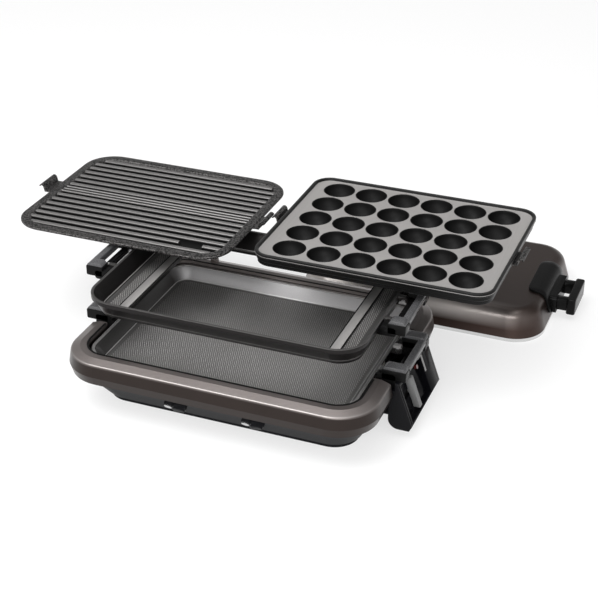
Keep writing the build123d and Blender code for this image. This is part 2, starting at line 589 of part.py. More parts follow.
def rib_plate_outer():
    at = (RIB_PLATE_X, RIB_PLATE_Y)
    return slab(RIB_PLATE_W, RIB_PLATE_D, RIB_PLATE_R, RIB_TOP_Z - RIB_FLANGE, RIB_TOP_Z, at)


def rib_plate():
    at = (RIB_PLATE_X, RIB_PLATE_Y)
    bottom = RIB_REST_Z + RUN
    in_w, in_d, in_r = RIB_PLATE_W - 2 * RIB_RIM, RIB_PLATE_D - 2 * RIB_RIM, RIB_PLATE_R - RIB_RIM
    plate = rib_plate_outer() + taper((in_w + 2, in_d + 2, in_r + 1, bottom),
                                      (in_w + 6, in_d + 6, in_r + 3, RIB_TOP_Z - RIB_FLANGE), at)
    plate -= slab(in_w, in_d, in_r, bottom + RIB_FLOOR, RIB_TOP_Z + 1, at)
    reach = slab(in_w + 1, in_d + 1, in_r + 0.5, bottom + 1, RIB_TOP_Z, at)
    for index, (y, width) in enumerate(rib_rows()):
        rib = block(RIB_PLATE_X - in_w / 2 - 1, RIB_PLATE_X + in_w / 2 + 1, y - width / 2, y + width / 2,
                    bottom + RIB_FLOOR - 0.5, RIB_TOP_Z)
        rib = fillet(rib.edges().filter_by(Axis.X).group_by(Axis.Z)[-1], 0.28 * width)
        if index == 1:
            x = RIB_PLATE_X + DRAIN_AT
            rib -= block(x, x + DRAIN_LENGTH, y - width, y + width, bottom + RIB_FLOOR, RIB_TOP_Z + 1)
        plate += rib & reach
    return plate


# ---------------------------------------------------------------- handles
def handle_bracket(pan, place, z1, side):
    """Black moulded end blocks and the bridge between them, seated on the pan's wall."""
    y, wall_x, z0 = place["y"], place["wall_x"], place["z0"]
    outer = wall_x + place["block_reach"]
    shape = block(outer - BRIDGE_WIDTH, outer - 1, y - HANDLE_HALF + 2, y + HANDLE_HALF - 2, z0 + 1, z0 + 8)
    for y0 in (y - HANDLE_HALF, y + HANDLE_HALF - ARM_WIDTH):
        piece = block(wall_x - 14, outer, y0, y0 + ARM_WIDTH, z0, z1)
        shape += fillet(piece.edges().filter_by(Axis.Y).group_by(Axis.X)[-1], 3)
    for pin in pin_rods(place):
        shape -= pin
    return place_side(shape, place, side) - pan - place["above"]


def handle_grip(place, z0, z1, side):
    """Grey crowned grip: a bar along the end and a drum-ended arm over each end block."""
    y, inner = place["y"], place["wall_x"] + ARM_GAP
    outer = place["wall_x"] + place["bar_reach"]
    grip = block(outer - BAR_WIDTH, outer, y - HANDLE_HALF, y + HANDLE_HALF, z0, z1)
    for y0 in (y - HANDLE_HALF, y + HANDLE_HALF - ARM_WIDTH):
        arm = block(inner, outer, y0, y0 + ARM_WIDTH, z0, z1)
        grip += fillet(arm.edges().filter_by(Axis.Y).group_by(Axis.X)[0].sort_by(Axis.Z)[-1], ARM_DRUM)
    top = grip.edges().group_by(Axis.Z)[-1]
    grip = fillet(top.filter_by(lambda e: e.center().X > inner + ARM_DRUM + RUN), GRIP_ROUND)
    return place_side(grip, place, side)


def pin_rods(place):
    """Cross pins that run from each ear into its end block."""
    inner = HANDLE_HALF - ARM_WIDTH
    for s in (-1, 1):
        y0, y1 = sorted((place["y"] + s * (inner - LUG_THICK - 2), place["y"] + s * (inner + 10)))
        yield rod_y(place["wall_x"] + PIN_OUT, place["z0"] + PIN_UP, y0, y1, PIN_DIA)


def handle_ears(pan, place, side):
    """Cast ears on the pan's wall, just inside the end blocks, with the pins' holes."""
    inner, wall_x, z0 = HANDLE_HALF - ARM_WIDTH, place["wall_x"], place["z0"]
    for s in (-1, 1):
        y0, y1 = sorted((place["y"] + s * inner, place["y"] + s * (inner - LUG_THICK)))
        ear = block(wall_x - 14, wall_x + PIN_OUT + 5, y0, y1, z0 + PIN_UP - 5, z0 + PIN_UP + 5)
        ear = fillet(ear.edges().filter_by(Axis.Y).group_by(Axis.X)[-1], 4)
        for pin in pin_rods(place):
            ear -= pin
        yield place_side(ear, place, side) - pan - place["above"]


def place_side(shape, place, side):
    """A handle is drawn for the right end about x = 0 and mirrored to the left."""
    if side < 0:
        shape = mirror(shape, Plane.YZ)
    return Pos(place["middle_x"], 0, 0) * shape


def curled_tab(x, y, z, width, side):
    """A thin lifting tab that leaves the plate's edge, bends up and rolls outwards at its tip."""
    lead, rise = TAB_LEAD, TAB_RISE
    line = Polyline((-2, 0), (lead, 0), (lead + 1.5, rise))
    roll = JernArc(start=line @ 1, tangent=line % 1, radius=TAB_ROLL, arc_size=-TAB_CURL)
    strip = trace([line, roll], line_width=TAB_SHEET)
    body = extrude(Plane.XZ * strip, width / 2, both=True)
    if side < 0:
        body = mirror(body, Plane.YZ)
    return Pos(x, y, z) * body


# ---------------------------------------------------------------- lid
def lid_form(inset, foot):
    at = (LID_X, LID_Y)
    crown = 2 * (LID_CROWN_INSET + inset)
    body = taper((LID_W - 2 * inset, LID_D - 2 * inset, LID_R - inset, foot),
                 (LID_W - crown, LID_D - crown, LID_R - LID_CROWN_INSET / 2 - inset, LID_HEIGHT - inset), at)
    return fillet(top_edges(body), LID_ROUND - inset)


def lid_shell():
    return lid_form(0, LID_TRIM) - lid_form(SHEET, LID_TRIM - 0.01)


def lid_trim():
    at = (LID_X, LID_Y)
    ring = slab(LID_W, LID_D, LID_R, 0, LID_TRIM, at)
    ring = fillet(ring.edges().group_by(Axis.Z)[0], 1.2)
    return ring - slab(LID_W - 8, LID_D - 8, LID_R - 4, -1, LID_TRIM + 1, at)


LID_PLACE = dict(middle_x=LID_X)


def lid_bracket(side):
    """Moulded plate on the lid's end wall with two arms that carry the grip."""
    half, wall_x = LID_HANDLE_HALF, LID_W / 2
    shape = block(wall_x - LID_PLATE_SEAT, wall_x + LID_PLATE_OUT, LID_Y - half, LID_Y + half,
                  LID_PLATE_Z0, LID_PLATE_Z1)
    shape = fillet(shape.edges().filter_by(Axis.X), LID_PLATE_ROUND)
    for s in (-1, 1):
        far = half - LID_ARM_INSET
        y0, y1 = sorted((LID_Y + s * far, LID_Y + s * (far - LID_ARM_WIDTH)))
        shape += block(wall_x + LID_PLATE_OUT - 1, wall_x + LID_ARM_OUT, y0, y1, LID_ARM_Z0, LID_ARM_Z1)
    return place_side(shape, LID_PLACE, side) - lid_form(0, LID_TRIM)


def lid_grip(side):
    half, x0 = LID_HANDLE_HALF - 3, LID_W / 2 + LID_ARM_OUT
    bar = block(x0, x0 + LID_BAR_WIDTH, LID_Y - half, LID_Y + half, LID_BAR_Z0, LID_BAR_Z1)
    bar = fillet(bar.edges().filter_by(Axis.Z), 3)
    bar = fillet(bar.edges().group_by(Axis.Z)[-1], 2)
    return place_side(bar, LID_PLACE, side)


# ---------------------------------------------------------------- everything
def main():
    os.makedirs("parts", exist_ok=True)
    save("base_tray", tray())
    save("guard", guard())
    save("heat_shield", heat_shield())
    tube = heater()
    save("heater_element", tube)
    save("heater_cradles", group(heater_cradles()))
    save("terminal_block", terminal_block(tube))
    save("sensor_guide", sensor_guide())
    save("thermostat_sensor", sensor())
    save("control_housing", control_housing())
    save("control_front_cap", housing_cap())
    save("thermostat_unit", prism_y(thermostat_profile(RUN), THERMOSTAT_Y0, THERMOSTAT_Y1))
    save("temperature_lever", lever())
    save("pilot_lens", pilot())
    save("inlet_pins", group(inlet_pins()))
    for name, x in (("left", -LATCH_X), ("right", LATCH_X)):
        save("front_latch_" + name, latch(x))
    save("latch_pins", group([latch_pin(x) for x in (-LATCH_X, LATCH_X)]))
    screws = [rod_z(x, y, TRAY_FLOOR_Z + 4, SHIELD_TOP_Z, SCREW_DIA)
              + rod_z(x, y, SHIELD_TOP_Z, SHIELD_TOP_Z + 2, 2 * SCREW_DIA)
              for x in (-SHIELD_POST_X, SHIELD_POST_X) for y in (-SHIELD_POST_Y, SHIELD_POST_Y)]
    save("body_screws", group(screws))

    griddle_solid, griddle_wall = griddle(), griddle_outer()
    frame_solid, frame_wall = pan_frame(), frame_outer()
    flat = dict(middle_x=0, y=0, wall_x=GRIDDLE_W / 2, z0=GRIDDLE_HANDLE_Z,
                block_reach=GRIDDLE_BLOCK_REACH, bar_reach=GRIDDLE_BAR_REACH,
                above=slab(GRIDDLE_W + 2 * RIM_ROOM, GRIDDLE_D + 2 * RIM_ROOM, GRIDDLE_R + RIM_ROOM,
                           GRIDDLE_RIM_Z, GRIDDLE_RIM_Z + 20))
    deep = dict(middle_x=FRAME_X, y=FRAME_Y, wall_x=FRAME_W / 2, z0=FRAME_HANDLE_Z,
                block_reach=FRAME_BLOCK_REACH, bar_reach=FRAME_BAR_REACH,
                above=slab(FRAME_W, FRAME_D, FRAME_R, FRAME_RIM_Z, FRAME_RIM_Z + 20, (FRAME_X, FRAME_Y)))
    griddle_pins, frame_pins = [], []
    for name, side in (("left", -1), ("right", 1)):
        save("griddle_bracket_" + name, handle_bracket(griddle_wall, flat, GRIDDLE_GRIP_Z, side))
        save("griddle_grip_" + name, handle_grip(flat, GRIDDLE_GRIP_Z, GRIDDLE_GRIP_Z + GRIP_HEIGHT, side))
        save("frame_bracket_" + name, handle_bracket(frame_wall, deep, FRAME_GRIP_Z, side))
        save("frame_grip_" + name, handle_grip(deep, FRAME_GRIP_Z, FRAME_GRIP_Z + GRIP_HEIGHT, side))
        for ear in handle_ears(griddle_wall, flat, side):
            griddle_solid += ear
        for ear in handle_ears(frame_wall, deep, side):
            frame_solid += ear
        griddle_pins += [place_side(pin, flat, side) for pin in pin_rods(flat)]
        frame_pins += [place_side(pin, deep, side) for pin in pin_rods(deep)]
    save("griddle_plate", griddle_solid)
    save("griddle_pins", group(griddle_pins))
    save("pan_frame", frame_solid)
    save("frame_pins", group(frame_pins))

    save("ball_cup_plate", cup_plate())
    save("ribbed_plate", rib_plate())
    cup_tab_z = CUP_RIM_Z - CUP_TAB_DROP
    cup_edge = CUP_PLATE_W / 2 - CUP_SKIRT_TAPER
    cup_tabs = [curled_tab(CUP_PLATE_X + s * cup_edge, CUP_PLATE_Y, cup_tab_z, TAB_WIDTH, s) for s in (-1, 1)]
    save("cup_plate_tabs", group([tab - cup_plate_outer() for tab in cup_tabs]))
    rib_tabs = [curled_tab(RIB_PLATE_X + s * RIB_PLATE_W / 2, RIB_PLATE_Y, RIB_TOP_Z - RIB_FLANGE / 2,
                           TAB_WIDTH, s) for s in (-1, 1)]
    save("ribbed_plate_tabs", group([tab - rib_plate_outer() for tab in rib_tabs]))

    save("lid_shell", lid_shell())
    save("lid_trim", lid_trim())
    for name, side in (("left", -1), ("right", 1)):
        save("lid_bracket_" + name, lid_bracket(side))
        save("lid_grip_" + name, lid_grip(side))


main()
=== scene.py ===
# %% [markdown]
# # A table-top hotplate set, taken apart
# The set is a heated body with a griddle, a deep pan frame on a pair of grips, a ribbed plate, a plate of
# ball cups and a loose lid. The CAD model already has the right sizes and joints. Here it gets its
# finishes, and the shapes that a maker would care about are built again with softer edges and more detail.

# %% Load the frame
import bpy
import bmesh
import math
from functools import partial
from mathutils import Matrix, Vector


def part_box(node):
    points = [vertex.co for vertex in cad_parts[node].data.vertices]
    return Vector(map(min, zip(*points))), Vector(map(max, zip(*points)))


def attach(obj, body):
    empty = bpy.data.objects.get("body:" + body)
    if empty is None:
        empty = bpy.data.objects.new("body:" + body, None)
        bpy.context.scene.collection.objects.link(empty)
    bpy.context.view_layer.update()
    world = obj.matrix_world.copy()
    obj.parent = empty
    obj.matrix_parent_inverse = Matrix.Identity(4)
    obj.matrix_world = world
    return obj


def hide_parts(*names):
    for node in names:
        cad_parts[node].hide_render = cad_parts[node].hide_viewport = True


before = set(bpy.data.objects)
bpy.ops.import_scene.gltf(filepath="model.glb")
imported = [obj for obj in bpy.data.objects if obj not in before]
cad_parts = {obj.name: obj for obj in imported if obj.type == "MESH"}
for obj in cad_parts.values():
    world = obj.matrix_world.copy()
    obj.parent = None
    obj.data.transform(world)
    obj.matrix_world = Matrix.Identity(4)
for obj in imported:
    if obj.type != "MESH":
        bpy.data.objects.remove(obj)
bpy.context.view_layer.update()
MM = 0.001


def in_scene(name, data):
    """A new object that stands in the scene."""
    item = bpy.data.objects.new(name, data)
    bpy.context.collection.objects.link(item)
    return item


# %% [markdown]
# ## Camera
# A long lens keeps the rails of the pans nearly parallel. The camera is given by the point it stands at
# and by two angles, which is easier to judge than three turns: the azimuth round the object and the angle
# at which it looks down. The three axes of the view are worked out from them.

# %% Camera
FRAME_PIXELS = 598
LENS_PIXELS = 1410.0
SENSOR = 36.0
AZIMUTH, DOWN = math.radians(21.5), math.radians(29.4)
EYE = Vector((550.9, -1263.2, 883.9)) * MM

forward = Vector((-math.sin(AZIMUTH) * math.cos(DOWN), math.cos(AZIMUTH) * math.cos(DOWN), -math.sin(DOWN)))
right = Vector((math.cos(AZIMUTH), math.sin(AZIMUTH), 0))
up = right.cross(forward)
lens = bpy.data.cameras.new("camera")
lens.sensor_width = SENSOR
lens.lens = SENSOR * LENS_PIXELS / FRAME_PIXELS
camera = in_scene("camera", lens)
camera.matrix_world = Matrix.Translation(EYE) @ Matrix((right, up, -forward)).transposed().to_4x4()
bpy.context.scene.camera = camera
bpy.context.scene.view_settings.view_transform = "Standard"
print("lens", round(lens.lens, 1), "mm")

# %% [markdown]
# ## Node helpers
# The room, the finishes and the rules for what repeats are all trees of small nodes. These helpers add a
# node, fill its sockets and hand back what comes out of it. A socket takes a link or a plain value.


# %% Helpers for node trees
def step(tree, kind, links=None, output=0, **settings):
    """Adds a node, sets its options, fills its sockets and hands back one of its outputs."""
    node = tree.nodes.new(kind)
    for option, value in settings.items():
        setattr(node, option, value)
    for socket, value in (links or {}).items():
        if isinstance(value, bpy.types.NodeSocket):
            tree.links.new(value, node.inputs[socket])
        else:
            node.inputs[socket].default_value = value
    return node.outputs[output]


def calc(tree, operation, *terms):
    """One Math node; each term is a socket or a plain number."""
    return step(tree, "ShaderNodeMath", dict(enumerate(terms)), operation=operation)


def remap(tree, value, from_low, from_high, to_low=0, to_high=1, kind="LINEAR"):
    """A value moved from one range to another and held at its ends."""
    sockets = "Value", "From Min", "From Max", "To Min", "To Max"
    links = dict(zip(sockets, (value, from_low, from_high, to_low, to_high)))
    return step(tree, "ShaderNodeMapRange", links, interpolation_type=kind)


def axis(tree, place, letter):
    """One coordinate of the place, in metres."""
    return step(tree, "ShaderNodeSeparateXYZ", {0: place}, letter)


def colour(tone):
    """A colour for a socket, from one grey level or from red, green and blue; a link stays a link."""
    if isinstance(tone, bpy.types.NodeSocket):
        return tone
    return (*(tone if isinstance(tone, tuple) else [tone] * 3), 1)


print("node helpers ready")

# %% [markdown]
# ## Room and lights
# The set is mostly dark coating and brown metallic paint, so what shows is what it reflects. An even room
# would make it look like rubber. This one is white all round the horizon and in front, and dims towards
# the upper back. Walls that face the viewer then pick up a pale sheen, and level surfaces stay deep.

# %% World
HORIZON_LEVEL = 0.94
DIM_FROM, DIM_TO = 0.06, 0.34
FRONT, BACK, FRONT_CHANGE, BACK_CHANGE = -0.5, 0.6, 0.05, -0.58

world = bpy.data.worlds.new("room")
world.use_nodes = True
bpy.context.scene.world = world
room = world.node_tree
room.nodes.clear()
looked_in = step(room, "ShaderNodeTexCoord", output="Generated")
above = remap(room, axis(room, looked_in, "Z"), DIM_FROM, DIM_TO, kind="SMOOTHSTEP")
change = remap(room, axis(room, looked_in, "Y"), FRONT, BACK, FRONT_CHANGE, BACK_CHANGE, "SMOOTHSTEP")
room_level = calc(room, "MULTIPLY_ADD", above, change, HORIZON_LEVEL)
room_light = step(room, "ShaderNodeBackground", {"Color": colour(1), "Strength": room_level})
room.links.new(room_light, room.nodes.new("ShaderNodeOutputWorld").inputs["Surface"])
print("room has", len(room.nodes), "nodes")

# %% [markdown]
# The key lamp stands high in front on the left, where every rounded front shoulder mirrors it as one long
# highlight. A weak lamp overhead fills the pans, one low in front lights their far walls, which nothing
# else would reach, and a weak one on the left lifts the side that faces it. The floor is large and plain.


# %% Lamps and floor
def soft_lamp(name, place, aim, size, power):
    """A rectangular area lamp at a point, turned to face another point."""
    data = bpy.data.lights.new(name, "AREA")
    data.shape = "RECTANGLE"
    data.size, data.size_y = size
    data.energy = power
    lamp = in_scene(name, data)
    lamp.location = place
    lamp.rotation_euler = (Vector(aim) - Vector(place)).to_track_quat("-Z", "Y").to_euler()


soft_lamp("lamp_key", (-0.45, -0.65, 1.45), (0.1, 0.15, 0.05), (1.1, 0.8), 17)
soft_lamp("lamp_over", (0.1, -0.1, 2.0), (0.1, 0, 0), (1.6, 1.2), 10)
soft_lamp("lamp_front", (0.5, -1.7, 0.9), (0, 0, 0.06), (1.4, 0.5), 18)
soft_lamp("lamp_left", (-1.6, -0.7, 1.1), (0, 0.1, 0.05), (0.9, 0.9), 2)

FLOOR_REACH = 6
corners = [(x * FLOOR_REACH, y * FLOOR_REACH, 0) for x, y in ((-1, -1), (1, -1), (1, 1), (-1, 1))]
floor_mesh = bpy.data.meshes.new("floor")
floor_mesh.from_pydata(corners, [], [(0, 1, 2, 3)])
floor = in_scene("floor", floor_mesh)
print("room ready")

# %% [markdown]
# ## Finishes
# Every finish starts from the same three steps: a shader, the object's own coordinates in metres, and a
# noise whose grain is set in millimetres. Because all pieces share one frame, a grain of half a
# millimetre is the same size on every one of them.


# %% Helpers for finishes
def new_finish(name):
    """A material with its tree and the object's coordinates."""
    finish = bpy.data.materials.new(name)
    finish.use_nodes = True
    tree = finish.node_tree
    return finish, tree, step(tree, "ShaderNodeTexCoord", output="Object")


def set_shader(tree, **values):
    """Constants and links straight on the shader's sockets, named with underscores for spaces."""
    for name, value in values.items():
        socket = tree.nodes["Principled BSDF"].inputs[name.replace("_", " ")]
        if isinstance(value, bpy.types.NodeSocket):
            tree.links.new(value, socket)
        else:
            socket.default_value = colour(value) if socket.type == "RGBA" else value


def noise(tree, place, grain_mm, detail=2.0, stretch=(1, 1, 1)):
    """Noise whose blobs are about this many millimetres across."""
    mapped = step(tree, "ShaderNodeMapping", {"Vector": place, "Scale": stretch})
    links = {"Vector": mapped, "Scale": 1 / (grain_mm * MM), "Detail": detail}
    return step(tree, "ShaderNodeTexNoise", links)


def two_tones(tree, value, low, high):
    """A colour between low and high as the value runs from 0 to 1; each is a tone or a link."""
    links = {"Factor": value, 6: colour(low), 7: colour(high)}
    return step(tree, "ShaderNodeMix", links, 2, data_type="RGBA")


def along(tree, place, letter, from_mm, to_mm, low=0, high=1):
    """A value that runs from low to high between two places on one axis."""
    return remap(tree, axis(tree, place, letter), from_mm * MM, to_mm * MM, low, high)


def dent(tree, height, depth_mm, strength=1.0):
    """The normal that shades a height as if it were this deep."""
    return step(tree, "ShaderNodeBump", {"Strength": strength, "Distance": depth_mm * MM, "Height": height})


print("finish helpers ready")

# %% [markdown]
# The floor is white paper. Seen directly or in a reflection, two thirds of its white is its own and the
# rest is lit, so the set's shadow stays on it but stays soft. To scattered light it is a mid grey, which
# keeps the undersides from being washed out.

# %% Floor finish
PAPER_WHITE, PAPER_GLOW, PAPER_BOUNCE = 0.94, 0.65, 0.42
paper, sheet, _ = new_finish("pale_floor")
set_shader(sheet, Base_Color=PAPER_WHITE, Roughness=0.9, Specular_IOR_Level=0.1)
glow = step(sheet, "ShaderNodeEmission", {"Color": colour(1), "Strength": 1.0})
bounce = step(sheet, "ShaderNodeBsdfDiffuse", {"Color": colour(PAPER_BOUNCE)})
rays = sheet.nodes.new("ShaderNodeLightPath").outputs
seen = rays["Is Camera Ray"]
for kind in ("Is Glossy Ray", "Is Transmission Ray"):
    seen = calc(sheet, "MAXIMUM", seen, rays[kind])
lit = sheet.nodes["Principled BSDF"].outputs["BSDF"]
white = step(sheet, "ShaderNodeMixShader", {0: PAPER_GLOW, 1: lit, 2: glow})
choice = step(sheet, "ShaderNodeMixShader", {0: seen, 1: bounce, 2: white})
sheet.links.new(choice, sheet.nodes["Material Output"].inputs["Surface"])
floor_mesh.materials.append(paper)
print("paper glows by", PAPER_GLOW)

# %% [markdown]
# ** Bronze lacquer** is a brown metallic paint: small flakes under a clear coat. Light and shade are painted
# into its colour by height: pale on top as painted light, dark brown down the sides as painted shade. The
# finish is told between which two heights the change happens, and where a painted highlight runs along a
# crease or a front shoulder.

# %% Bronze lacquer
# Painted highlights: a pale line along the guard's crease, and a pale, less metallic band along the lid's
# front shoulder.
CREASE_HIGHLIGHT_TONE, SHOULDER_HIGHLIGHT_TONE = (0.26, 0.24, 0.232), (0.72, 0.67, 0.64)
LACQUER_METAL, SHOULDER_HIGHLIGHT_METAL = 0.85, 0.2


def near(tree, place, level_mm, full_mm, none_mm):
    """1 within full_mm of a height, down to 0 at none_mm from it."""
    off = calc(tree, "ABSOLUTE", calc(tree, "SUBTRACT", axis(tree, place, "Z"), level_mm * MM))
    return remap(tree, off, full_mm * MM, none_mm * MM, 1, 0)


def bronze_lacquer(name, shaded_side_z, lit_top_z, lit_top_tones, shaded_side_tones, highlight_crease_z=None, shoulder=None):
    """Painted shade tones low on the sides, painted lit tones on top, changing between two heights; a painted
    highlight along a crease height or along a shoulder, given as (z, front y, from x, to x) in mm.
    """
    finish, tree, place = new_finish(name)
    times = partial(calc, tree, "MULTIPLY")
    flakes, drift = noise(tree, place, 0.35, 1.0), noise(tree, place, 60, 1.0)
    blend = calc(tree, "ADD", times(flakes, 0.6), times(drift, 0.4))
    # The side tones are painted shade and the top tones painted light; height chooses between them.
    side, top = (two_tones(tree, blend, *tones) for tones in (shaded_side_tones, lit_top_tones))
    tone, metallic = two_tones(tree, along(tree, place, "Z", shaded_side_z, lit_top_z), side, top), LACQUER_METAL
    # A painted highlight along the crease.
    if highlight_crease_z:
        tone = two_tones(tree, near(tree, place, highlight_crease_z, 0, 0.9), tone, CREASE_HIGHLIGHT_TONE)
    # A painted highlight on the front shoulder, fading towards the back and along X; there the paint is also
    # less metallic.
    if shoulder:
        highlight_shoulder_z, front_y, from_x, to_x = shoulder
        highlight_band = times(near(tree, place, highlight_shoulder_z, 2, 15),
                     along(tree, place, "Y", front_y, front_y + 16, 1, 0))
        highlight_band = times(highlight_band, along(tree, place, "X", from_x, to_x, 1, 0.06))
        tone = two_tones(tree, highlight_band, tone, SHOULDER_HIGHLIGHT_TONE)
        metallic = calc(tree, "MULTIPLY_ADD", highlight_band, SHOULDER_HIGHLIGHT_METAL - LACQUER_METAL, LACQUER_METAL)
    set_shader(tree, Base_Color=tone, Metallic=metallic, Roughness=remap(tree, flakes, 0.3, 0.7, 0.3, 0.42),
               Coat_Weight=0.25, Coat_Roughness=0.2, Normal=dent(tree, flakes, 0.015, 0.5))
    return finish


# %% [markdown]
# ** Cast pans** have a non-stick coating, nearly black and semi-matt. Their cooking floors are pressed with
# rows of fine dots, which wear to bare grey on their tops. The dots themselves are small pyramids made
# further down. The finish looks up its own height: near a floor's, a ledge's or a rim's level it uses the
# tone of that level, and these tones are painted light and shade. Between the dots the floor is a shade
# lighter than the walls, as a painted reflection of the bright room, and rims and edges carry pale painted
# highlight lines.


# %% Coating of the pans
def pan_coating(name, dark, light, painted_levels, roughness=0.3, speck_mm=0.5, spread=0.5, metallic=0.7, painted_back_wall=None):
    """Coating whose tones at the given levels are painted light and shade, each (height in mm, tone,
    roughness).

    A back wall's inner face may be painted lighter, as painted light: the wall is given as (its foot's y and
    z in mm, its lean, the tone).
    """
    finish, tree, place = new_finish(name)
    specks = remap(tree, noise(tree, place, speck_mm), 0.5 - spread, 0.5 + spread)
    height = axis(tree, place, "Z")
    painted_patches = []
    # The back wall's inner face is painted lighter, as painted light from the front.
    if painted_back_wall:
        foot_y, foot_z, lean, painted_tone = painted_back_wall
        depth = calc(tree, "MULTIPLY_ADD", height, -lean, axis(tree, place, "Y"))
        face_y = foot_y - lean * foot_z
        face = calc(tree, "MULTIPLY", remap(tree, depth, (face_y + 1) * MM, (face_y + 2) * MM, 1, 0),
                    calc(tree, "GREATER_THAN", height, (foot_z - 2) * MM))
        face = calc(tree, "MULTIPLY", face, along(tree, place, "Y", foot_y - 16, foot_y - 2))
        painted_patches.append((face, painted_tone, 0.6, 0.22))
    # Each level gets its own tone, which is painted light or shade.
    for level_z, tone, level_roughness in painted_levels:
        here = calc(tree, "COMPARE", height, level_z * MM, 0.35 * MM)
        painted_patches.append((here, tone, 0.75, level_roughness - roughness))
    tone, rough = two_tones(tree, specks, dark, light), roughness
    for where, painted_tone, share, rougher in painted_patches:
        tone = two_tones(tree, where, tone, two_tones(tree, specks, tuple(share * v for v in painted_tone), painted_tone))
        rough = calc(tree, "MULTIPLY_ADD", where, rougher, rough)
    set_shader(tree, Base_Color=tone, Metallic=metallic, Roughness=rough, Specular_IOR_Level=0.2,
               Normal=dent(tree, specks, 0.01))
    return finish


def rib_coating():
    """Bright on the crowns of the ribs, partly wear and partly a painted highlight; dark on their flanks as
    painted shade.
    """
    finish, tree, place = new_finish("rib_coating")
    specks = noise(tree, place, 0.5)
    worn_and_lit = two_tones(tree, specks, (0.13, 0.126, 0.124), (0.27, 0.262, 0.257))
    # Dark flanks are painted shade; bright crowns are wear and a painted highlight.
    tone = two_tones(tree, along(tree, place, "Z", 138.4, 140.2), (0.015, 0.014, 0.014), worn_and_lit)
    set_shader(tree, Base_Color=tone, Metallic=0.7, Roughness=0.34, Normal=dent(tree, specks, 0.01))
    return finish


# %% [markdown]
# **Moulded plastic** carries the grain of its mould, **bare metal** the lines of its rolling, and a plain
# **coating** fine specks with a slow drift in its gloss. All are one noise that sets colour, gloss and
# small dents together, once even and once stretched.


# %% Mouldings, metals and plain coatings
def grained(name, tones, rough, grain_mm, detail, depth_mm, stretch=(1, 1, 1), drift_mm=None, **shine):
    """A finish from one noise; rough is the least and the most roughness, shine goes to the shader."""
    finish, tree, place = new_finish(name)
    grain = noise(tree, place, grain_mm, detail, stretch)
    gloss = noise(tree, place, drift_mm) if drift_mm else grain
    set_shader(tree, Base_Color=two_tones(tree, grain, *tones), Normal=dent(tree, grain, depth_mm),
               Roughness=remap(tree, gloss, 0.3, 0.7, *rough), **shine)
    return finish


def moulding(name, dark, light, roughness, coat=0.0, sheen=0.5):
    """Moulded plastic with a fine spark-eroded grain."""
    return grained(name, (dark, light), (roughness - 0.05, roughness + 0.05), 0.6, 3.0, 0.03,
                   Coat_Weight=coat, Coat_Roughness=0.1, Specular_IOR_Level=sheen)


def metal(name, dark, light, roughness, stretch=(1, 1, 1), grain_mm=0.4):
    """Bare metal; a stretched noise makes the lines of brushing or rolling."""
    return grained(name, (dark, light), (roughness - 0.06, roughness + 0.08), grain_mm, 2.0, 0.01, stretch,
                   Metallic=1.0)


# %% The finishes
# The guard and the lid: painted light on top, painted shade down the sides, a painted highlight on the
# guard's crease and one on the lid's front shoulder.
BRONZE_GUARD = bronze_lacquer("bronze_guard", 66.5, 70, ((0.14, 0.122, 0.115), (0.3, 0.268, 0.258)),
                              ((0.01, 0.006, 0.005), (0.034, 0.023, 0.019)), highlight_crease_z=69.2)
BRONZE_LID = bronze_lacquer("bronze_lid", 20, 34, ((0.03, 0.019, 0.015), (0.055, 0.036, 0.03)),
                            ((0.028, 0.016, 0.013), (0.055, 0.033, 0.027)), shoulder=(29, 203, 140, 262))
# The griddle's floor and the frame's troughs and ledges are painted paler as a painted reflection, their rims
# and edges carry pale painted highlight lines, and the griddle's back wall is painted lighter as painted
# light.
GRIDDLE_COAT = pan_coating("griddle_coating", (0.04, 0.039, 0.038), (0.09, 0.088, 0.087),
                           [(53.0, (0.2, 0.196, 0.192), 0.4), (53.95, (0.6, 0.59, 0.58), 0.34),
                            (67.6, (0.5, 0.49, 0.48), 0.3), (68.0, (0.32, 0.313, 0.31), 0.3)],
                           painted_back_wall=(104, 53, 0.607, (0.42, 0.412, 0.415)))
FRAME_COAT = pan_coating("frame_coating", (0.01, 0.009, 0.009), (0.028, 0.026, 0.026),
                         [(108.0, (0.13, 0.127, 0.124), 0.4), (109.2, (0.36, 0.35, 0.343), 0.6),
                          (128.0, (0.1, 0.097, 0.095), 0.34)], 0.36)
# The ribbed plate's valley floor is painted darker, as painted shade between the ribs.
PLATE_GREY = pan_coating("plate_coating", 0.002, (0.12, 0.115, 0.113),
                         [(136.3, (0.008, 0.008, 0.008), 0.5)], 0.42, 1.5, 0.09)
# The cup plate's web between the cups is painted pale, as a painted reflection.
WEB_GREY = pan_coating("web_coating", 0.003, 0.008, [(155.0, (0.34, 0.328, 0.32), 0.4),
                                                     (158.0, (0.02, 0.0195, 0.019), 0.4)],
                       0.4, metallic=0.3)
RIB_GREY = rib_coating()
SPECKS = {"grain_mm": 0.5, "detail": 2.0, "depth_mm": 0.02, "drift_mm": 35}
DOT_GREY = grained("dot_grey", ((0.3, 0.293, 0.287), (0.55, 0.54, 0.53)), (0.29, 0.4), **SPECKS, Metallic=0.7)
CUP_BLACK = grained("cup_black", (0.002, 0.005), (0.45, 0.56), **SPECKS, Specular_IOR_Level=0.12)
BLACK_MOULDING = moulding("black_moulding", 0.003, 0.008, 0.22, sheen=0.08)
GRIP_GREY = moulding("grip_grey", (0.045, 0.045, 0.047), (0.09, 0.09, 0.093), 0.26)
LUG_GREY = moulding("lug_grey", (0.2, 0.197, 0.194), (0.3, 0.294, 0.29), 0.32)
GREY_MOULDING = moulding("grey_moulding", 0.12, 0.19, 0.4)
TRAY_MOULDING = moulding("tray_moulding", (0.009, 0.009, 0.01), (0.018, 0.018, 0.02), 0.36, sheen=0.02)
